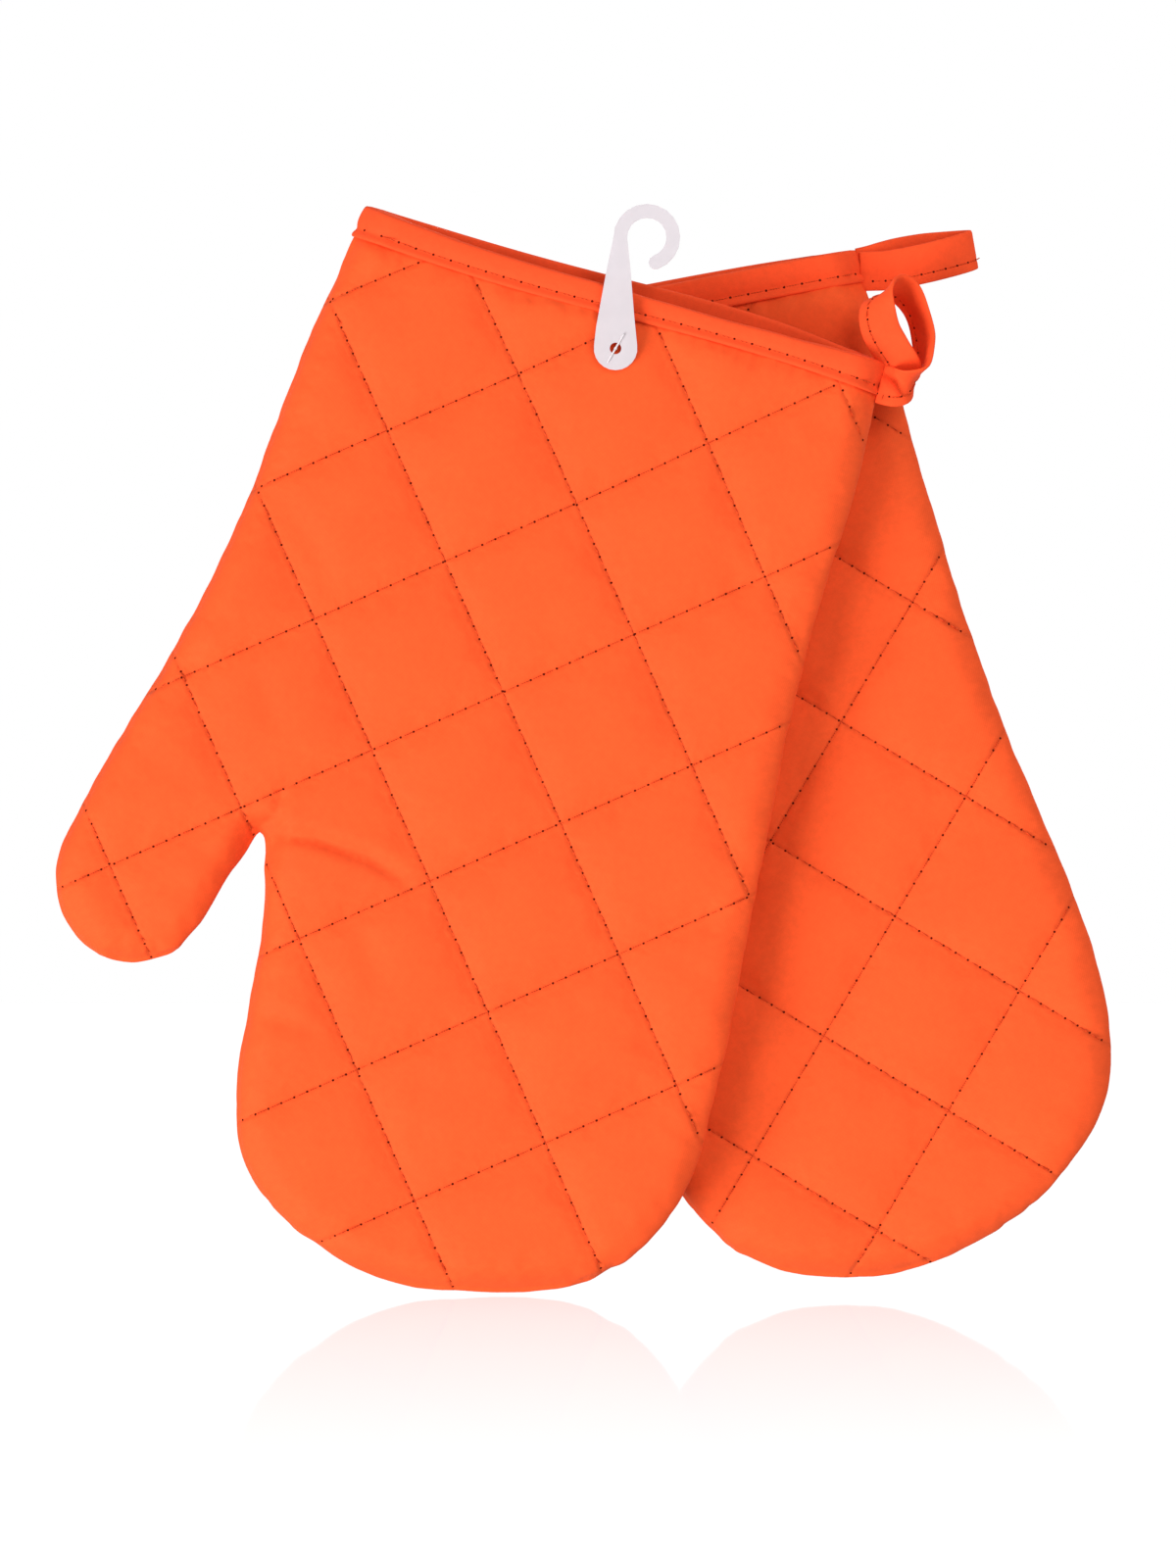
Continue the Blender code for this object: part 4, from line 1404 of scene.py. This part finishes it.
def sew(name, chains, cloth, pitch, **sizes):
    """Sews along chains. Each is a list of points and a list of the ways towards the cloth."""
    mesh = bpy.data.meshes.new(name)
    points, edges, directions = [], [], []
    for chain, toward in chains:
        start = len(points)
        points += [tuple(point) for point in chain]
        edges += [(start + number, start + number + 1) for number in range(len(chain) - 1)]
        directions += [part for way in toward for part in way]
    mesh.from_pydata(points, edges, [])
    attribute = mesh.attributes.new("toward", "FLOAT_VECTOR", "POINT")
    attribute.data.foreach_set("vector", directions)
    guide = bpy.data.objects.new(name, mesh)
    bpy.context.scene.collection.objects.link(guide)
    modifier = guide.modifiers.new("stitches", "NODES")
    modifier.node_group = stitches
    values = {"Cloth": cloth, "Pitch": pitch, "Thread": thread, "Hole": hole, **sizes}
    for label, value in values.items():
        modifier[stitch_inputs[label]] = value
    plain_mesh(guide)
    made = guide.data
    for face in made.polygons:
        face.use_smooth = True
    for attribute in [a for a in made.attributes if a.name in ("toward", "normal", "met")]:
        made.attributes.remove(attribute)
    return guide


def quilting_guides(mitt):
    """Straight rows of points along every quilting line, where it lies inside the mitt."""
    start, first, second = quilt_axes(mitt)
    reach = round((mitt_length + mitt_width) / guide_step)
    top = -binding_width - below_binding
    rows = []
    for along, across in ((first, second), (second, first)):
        for line in range(-quilt_lines, quilt_lines + 1):
            row = []
            for number in range(-reach, reach + 1):
                spot = start + across * quilt_pitch * line + along * guide_step * number
                good = (
                    -mitt_length < spot.y < top and abs(spot.x) < half_reach
                    and edge_distance(mitt, spot) > clear_of_seam
                    and inside_outline(mitt["edge"], spot)
                )
                if good:
                    row.append(spot)
                if not good or number == reach:
                    if len(row) >= least_row:
                        rows.append(row)
                    row = []
    return rows


def onto_panel(side, count):
    """The way from a guide line in front of a panel back to it, once for each of its points."""
    return [(0.0, -float(side), 0.0)] * count


quilt_stitch = 0.0039
for name, mitt in mitts.items():
    rows = quilting_guides(mitt)
    chains = []
    for side in (-1, 1):
        for row in rows:
            places = [mitt["place"] @ carry(mitt, point, guide_standoff, side) for point in row]
            chains.append((places, onto_panel(side, len(row))))
    sewn = sew(name + "_mitt_quilting_stitches", chains, mitt["bag"], quilt_stitch)
    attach(sewn, name + "_mitt")
    print(sewn.name, len(rows), "rows a side,", len(sewn.data.polygons), "faces")

# %% [markdown]
# The binding's row runs 7 mm below its top, and goes on over the loops near the tape's lower
# edge. Its pitch is a little longer than the quilting's.

# %% Sew the binding and the loops
binding_stitch = 0.0050
binding_hole_radius = 0.00042
stitch_depth = 0.0068
row_inset = 0.0012
row_steps = 70
loop_stitch = 0.0034
loop_standoff = 0.0008

for name, mitt in mitts.items():
    chains = []
    for side in (-1, 1):
        places = []
        for number in range(row_steps + 1):
            across = -cuff_width / 2 + row_inset + (cuff_width - 2 * row_inset) * number / row_steps
            point = Vector((across, 0))
            spot = carry(mitt, point, guide_standoff, side)
            spot.x += mitt["lean"] * stitch_depth
            spot.z += cuff_dip(mitt, point.x, 0.0, side)
            spot.z -= cuff_dip(mitt, point.x, -stitch_depth, side) + stitch_depth
            places.append(mitt["place"] @ spot)
        chains.append((places, onto_panel(side, len(places))))
    sewn = sew(
        name + "_mitt_binding_stitches", chains, mitt["binding"], binding_stitch,
        **{"Hole radius": binding_hole_radius}
    )
    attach(sewn, name + "_mitt")
    print(sewn.name, len(sewn.data.polygons), "faces")


def tape_row(path, place, side):
    """A guide line over the tape's groove, held off its face, with the way back to it."""
    centres, widths = path
    points, toward = [], []
    for number, centre in enumerate(centres):
        broad, flat = tape_frame(centres, widths, number)
        flat *= side
        over = centre - broad * (tape_width / 2 * groove_share)
        points.append(place @ (over + flat * loop_standoff))
        toward.append(tuple(place.to_3x3() @ -flat))
    return points, toward


loops = {"front": (front_loop, front_loop_path), "back": (back_loop, back_loop_path)}
for name, (tape, path) in loops.items():
    chains = [tape_row(path, loop_place(name), side) for side in (-1, 1)]
    sewn = sew(name + "_loop_stitches", chains, tape, loop_stitch)
    start = loop_place(name) @ Vector((-loop_hinge_out, 0, 0))
    end = loop_place(name) @ Vector((loop_hinge_in, 0, 0))
    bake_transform(sewn, name + "_mitt", name + "_loop", start, end)
    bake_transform(tape, name + "_mitt", name + "_loop", start, end)
    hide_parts(name + "_mitt_loop")
    print(tape.name, "bends between", name + "_mitt and", name + "_loop")

# %% [markdown]
# ## Hook hanger
#
# The hanger is stamped from a milky sheet of plastic. Light goes into it and comes back blurred,
# so the orange behind it tints it pink. Its outline is already right in the fixed model. A copy
# of it is welded and gets a small bevel, as a stamped edge has, and a material that lets some
# light through.

# %% Milky plastic
def milky_plastic(name, low, high, clearness):
    material, tree, surface = new_material(name)
    place = object_place(tree)
    cloud = texture(tree, "ShaderNodeTexNoise", (-650, 0), place, Scale=180.0, Detail=3.0)
    grain = texture(tree, "ShaderNodeTexNoise", (-650, -300), place, Scale=1400.0, Detail=2.0)
    bump = add_node(
        tree, "ShaderNodeBump", (-400, -300), Strength=0.08, Distance=0.00005, Height=grain
    )
    feed_surface(tree, surface, {
        "Base Color": mix_colours(tree, (-400, 100), cloud, low, high),
        "Normal": bump.outputs["Normal"],
        "Roughness": 0.42, "IOR": 1.46, "Transmission Weight": clearness,
    })
    return material


plastic = milky_plastic("milky_plastic", (0.64, 0.59, 0.62), (0.72, 0.66, 0.69), 0.22)
clear_plastic = milky_plastic("clear_plastic", (0.75, 0.70, 0.72), (0.81, 0.76, 0.78), 0.18)


# %% Bevel the stamped hook
bevel_width = 0.00022
bevel_angle = math.radians(50)


def welded_copy(node, name, material):
    """A copy of a fixed solid with its loose triangles joined into whole faces."""
    bm = bmesh.new()
    bm.from_mesh(frame["nodes"][node].data)
    bmesh.ops.remove_doubles(bm, verts=list(bm.verts), dist=0.00001)
    bmesh.ops.dissolve_limit(
        bm, angle_limit=math.radians(1), verts=list(bm.verts), edges=list(bm.edges)
    )
    bmesh.ops.recalc_face_normals(bm, faces=list(bm.faces))
    return piece_from(bm, name, material)


hook = welded_copy("hanger_hook", "hook_hanger", plastic)
bevel = hook.modifiers.new("bevel", "BEVEL")
bevel.width = bevel_width
bevel.segments = 3
bevel.limit_method = "ANGLE"
bevel.angle_limit = bevel_angle
for face in hook.data.polygons:
    face.use_smooth = True
hook.modifiers.new("weighted", "WEIGHTED_NORMAL")
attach(hook, "hanger")
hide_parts("hanger_hook")
print("hook:", len(hook.data.polygons), "faces before its bevel")

# %% [markdown]
# ## Tag pin
#
# A clear T-ended plastic thread goes through the hanger's hole and both mitts and keeps the pair
# together. Each end is a short cross bar. The thread and the bars are thin tubes with round ends,
# drawn along short paths.

# %% Draw the tag pin
pin_low, pin_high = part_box("tag_pin")
pin_centre = (pin_low + pin_high) / 2
bar_turn = math.radians(30)
bar_half = 0.0046
bar_radius = 0.00028
pin_radius = 0.00045
bar_seat = 1.1
rod_dome = ((0.0, 0.30), (0.25, 0.72), (0.6, 0.95), (1.0, 1.0))


def round_rod(bm, start, end, radius, sides=10):
    """A rod with domed ends, lofted from rings between two points."""
    along = (end - start).normalized()
    turn = along.to_track_quat("Z", "Y").to_matrix()
    rings = []
    profile = [(start + along * radius * d, radius * r) for d, r in rod_dome]
    profile += [(end - along * radius * d, radius * r) for d, r in rod_dome[::-1]]
    for centre, size in profile:
        ring = []
        for number in range(sides):
            angle = math.tau * number / sides
            out = turn @ Vector((math.cos(angle), math.sin(angle), 0))
            ring.append(bm.verts.new(centre + out * size))
        rings.append(ring)
    for ring, following in zip(rings, rings[1:]):
        for number in range(sides):
            after = (number + 1) % sides
            face = bm.faces.new((ring[number], ring[after], following[after], following[number]))
            face.smooth = True
    bm.faces.new(rings[0][::-1])
    bm.faces.new(rings[-1])


bm = bmesh.new()
reach = Vector((math.sin(bar_turn), 0, math.cos(bar_turn))) * bar_half
hook_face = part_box("hanger_hook")[0].y
print("bar to hook:", round(1000 * (hook_face - pin_low.y), 2), "mm")
front_bar = max(pin_low.y + bar_radius, hook_face - bar_radius * bar_seat)
front_end = Vector((pin_centre.x, front_bar, pin_centre.z))
rear_end = Vector((pin_centre.x, pin_high.y - bar_radius, pin_centre.z))
for middle in (front_end, rear_end):
    round_rod(bm, middle - reach, middle + reach, bar_radius)
round_rod(bm, front_end, rear_end, pin_radius)
bmesh.ops.recalc_face_normals(bm, faces=list(bm.faces))
pin_piece = piece_from(bm, "tag_pin_thread", clear_plastic)
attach(pin_piece, "hanger")
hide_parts("tag_pin")
print("tag pin:", round((pin_high.y - pin_low.y) * 1000, 1), "mm from bar to bar")

# %% [markdown]
# ## Floor
#
# The pair shows against plain white, with a faint mirror image below the fingertips. The floor is
# a large pale sheet just under the lowest point. For the camera it is mostly plain white. A little
# gloss gives the mirror image, and a little lit surface on top keeps the soft shadow. For all
# other rays the floor is clear, so it throws no light back onto the cloth.

# %% Lay the floor
floor_drop = 0.0006
floor_size = 4.0
mirror_reach = 0.95
mirror_share = 0.31
floor_white = (0.98, 0.98, 0.98, 1.0)
floor_grey = (0.14, 0.14, 0.14, 1.0)


def pale_floor():
    """White for the camera, with a mirror image that fades towards the front, and soft shadows."""
    material, tree, surface = new_material("pale_floor")
    tree.nodes.remove(surface)
    split = add_node(tree, "ShaderNodeSeparateXYZ", (-300, -500), object_place(tree))
    fade = map_range(
        tree, split.outputs["Y"], (-100, -500), (-mirror_reach, 0.0), (0.0, mirror_share)
    )
    white = add_node(tree, "ShaderNodeEmission", (0, -200), Strength=1.0, Color=floor_white)
    gloss = add_node(tree, "ShaderNodeBsdfGlossy", (0, -350), Roughness=0.03, Color=floor_white)
    shine = add_node(
        tree, "ShaderNodeMixShader", (250, -300), fade, white.outputs[0], gloss.outputs[0]
    )
    lit = add_node(tree, "ShaderNodeBsdfDiffuse", (250, -100), Color=floor_grey)
    seen = add_node(tree, "ShaderNodeAddShader", (450, -100), lit.outputs[0], shine.outputs[0])
    clear = add_node(tree, "ShaderNodeBsdfTransparent", (450, 150))
    rays = add_node(tree, "ShaderNodeLightPath", (0, 350)).outputs
    either = math_node(tree, "MAXIMUM", (250, 350), rays["Is Camera Ray"], rays["Is Glossy Ray"])
    pick = add_node(
        tree, "ShaderNodeMixShader", (650, 100), either, clear.outputs[0], seen.outputs[0]
    )
    feed(tree, tree.nodes["Material Output"].inputs["Surface"], pick.outputs[0])
    return material


low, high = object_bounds()
bm = bmesh.new()
bmesh.ops.create_grid(bm, x_segments=1, y_segments=1, size=floor_size)
bmesh.ops.translate(bm, verts=list(bm.verts), vec=(0, 0, low.z - floor_drop))
floor = piece_from(bm, "floor", pale_floor())
print("floor at z =", round((low.z - floor_drop) * 1000, 1), "mm")

# %% [markdown]
# ## Light
#
# Soft studio light comes from a large lamp on the lower left, weaker ones on the right and above
# and an even grey surround. The camera itself sees the surround as plain white, through Light
# Path, so the background needs no extra light on the cloth.

# %% Lamps and surround
def soft_lamp(name, place, size, power):
    data = bpy.data.lights.new(name, "AREA")
    data.size = size
    data.energy = power
    lamp = bpy.data.objects.new(name, data)
    bpy.context.scene.collection.objects.link(lamp)
    lamp.location = place
    lamp.rotation_euler = (view_centre - Vector(place)).to_track_quat("-Z", "Y").to_euler()


soft_lamp("key", (-1.66, -1.50, -1.22), 1.4, 80.0)
soft_lamp("fill", (0.9, -2.1, 0.9), 1.2, 23.0)
soft_lamp("side", (1.7, -0.6, -0.4), 1.0, 5.0)
soft_lamp("top", (0.1, 0.2, 1.6), 0.9, 5.0)

world = bpy.data.worlds.new("surround")
bpy.context.scene.world = world
world.use_nodes = True
tree = world.node_tree
tree.nodes.clear()
white = (1.0, 1.0, 1.0, 1.0)
even = add_node(tree, "ShaderNodeBackground", (0, -100), Color=white, Strength=0.40)
plain = add_node(tree, "ShaderNodeBackground", (0, 100), Color=white, Strength=1.0)
rays = add_node(tree, "ShaderNodeLightPath", (-300, 300)).outputs
seen = math_node(tree, "MAXIMUM", (-150, 350), rays["Is Camera Ray"], rays["Is Glossy Ray"])
clear = math_node(tree, "MAXIMUM", (50, 350), seen, rays["Is Transmission Ray"])
mix = add_node(tree, "ShaderNodeMixShader", (300, 0), clear, even.outputs[0], plain.outputs[0])
add_node(tree, "ShaderNodeOutputWorld", (600, 0), Surface=mix.outputs[0])
bpy.context.scene.view_settings.view_transform = "Standard"
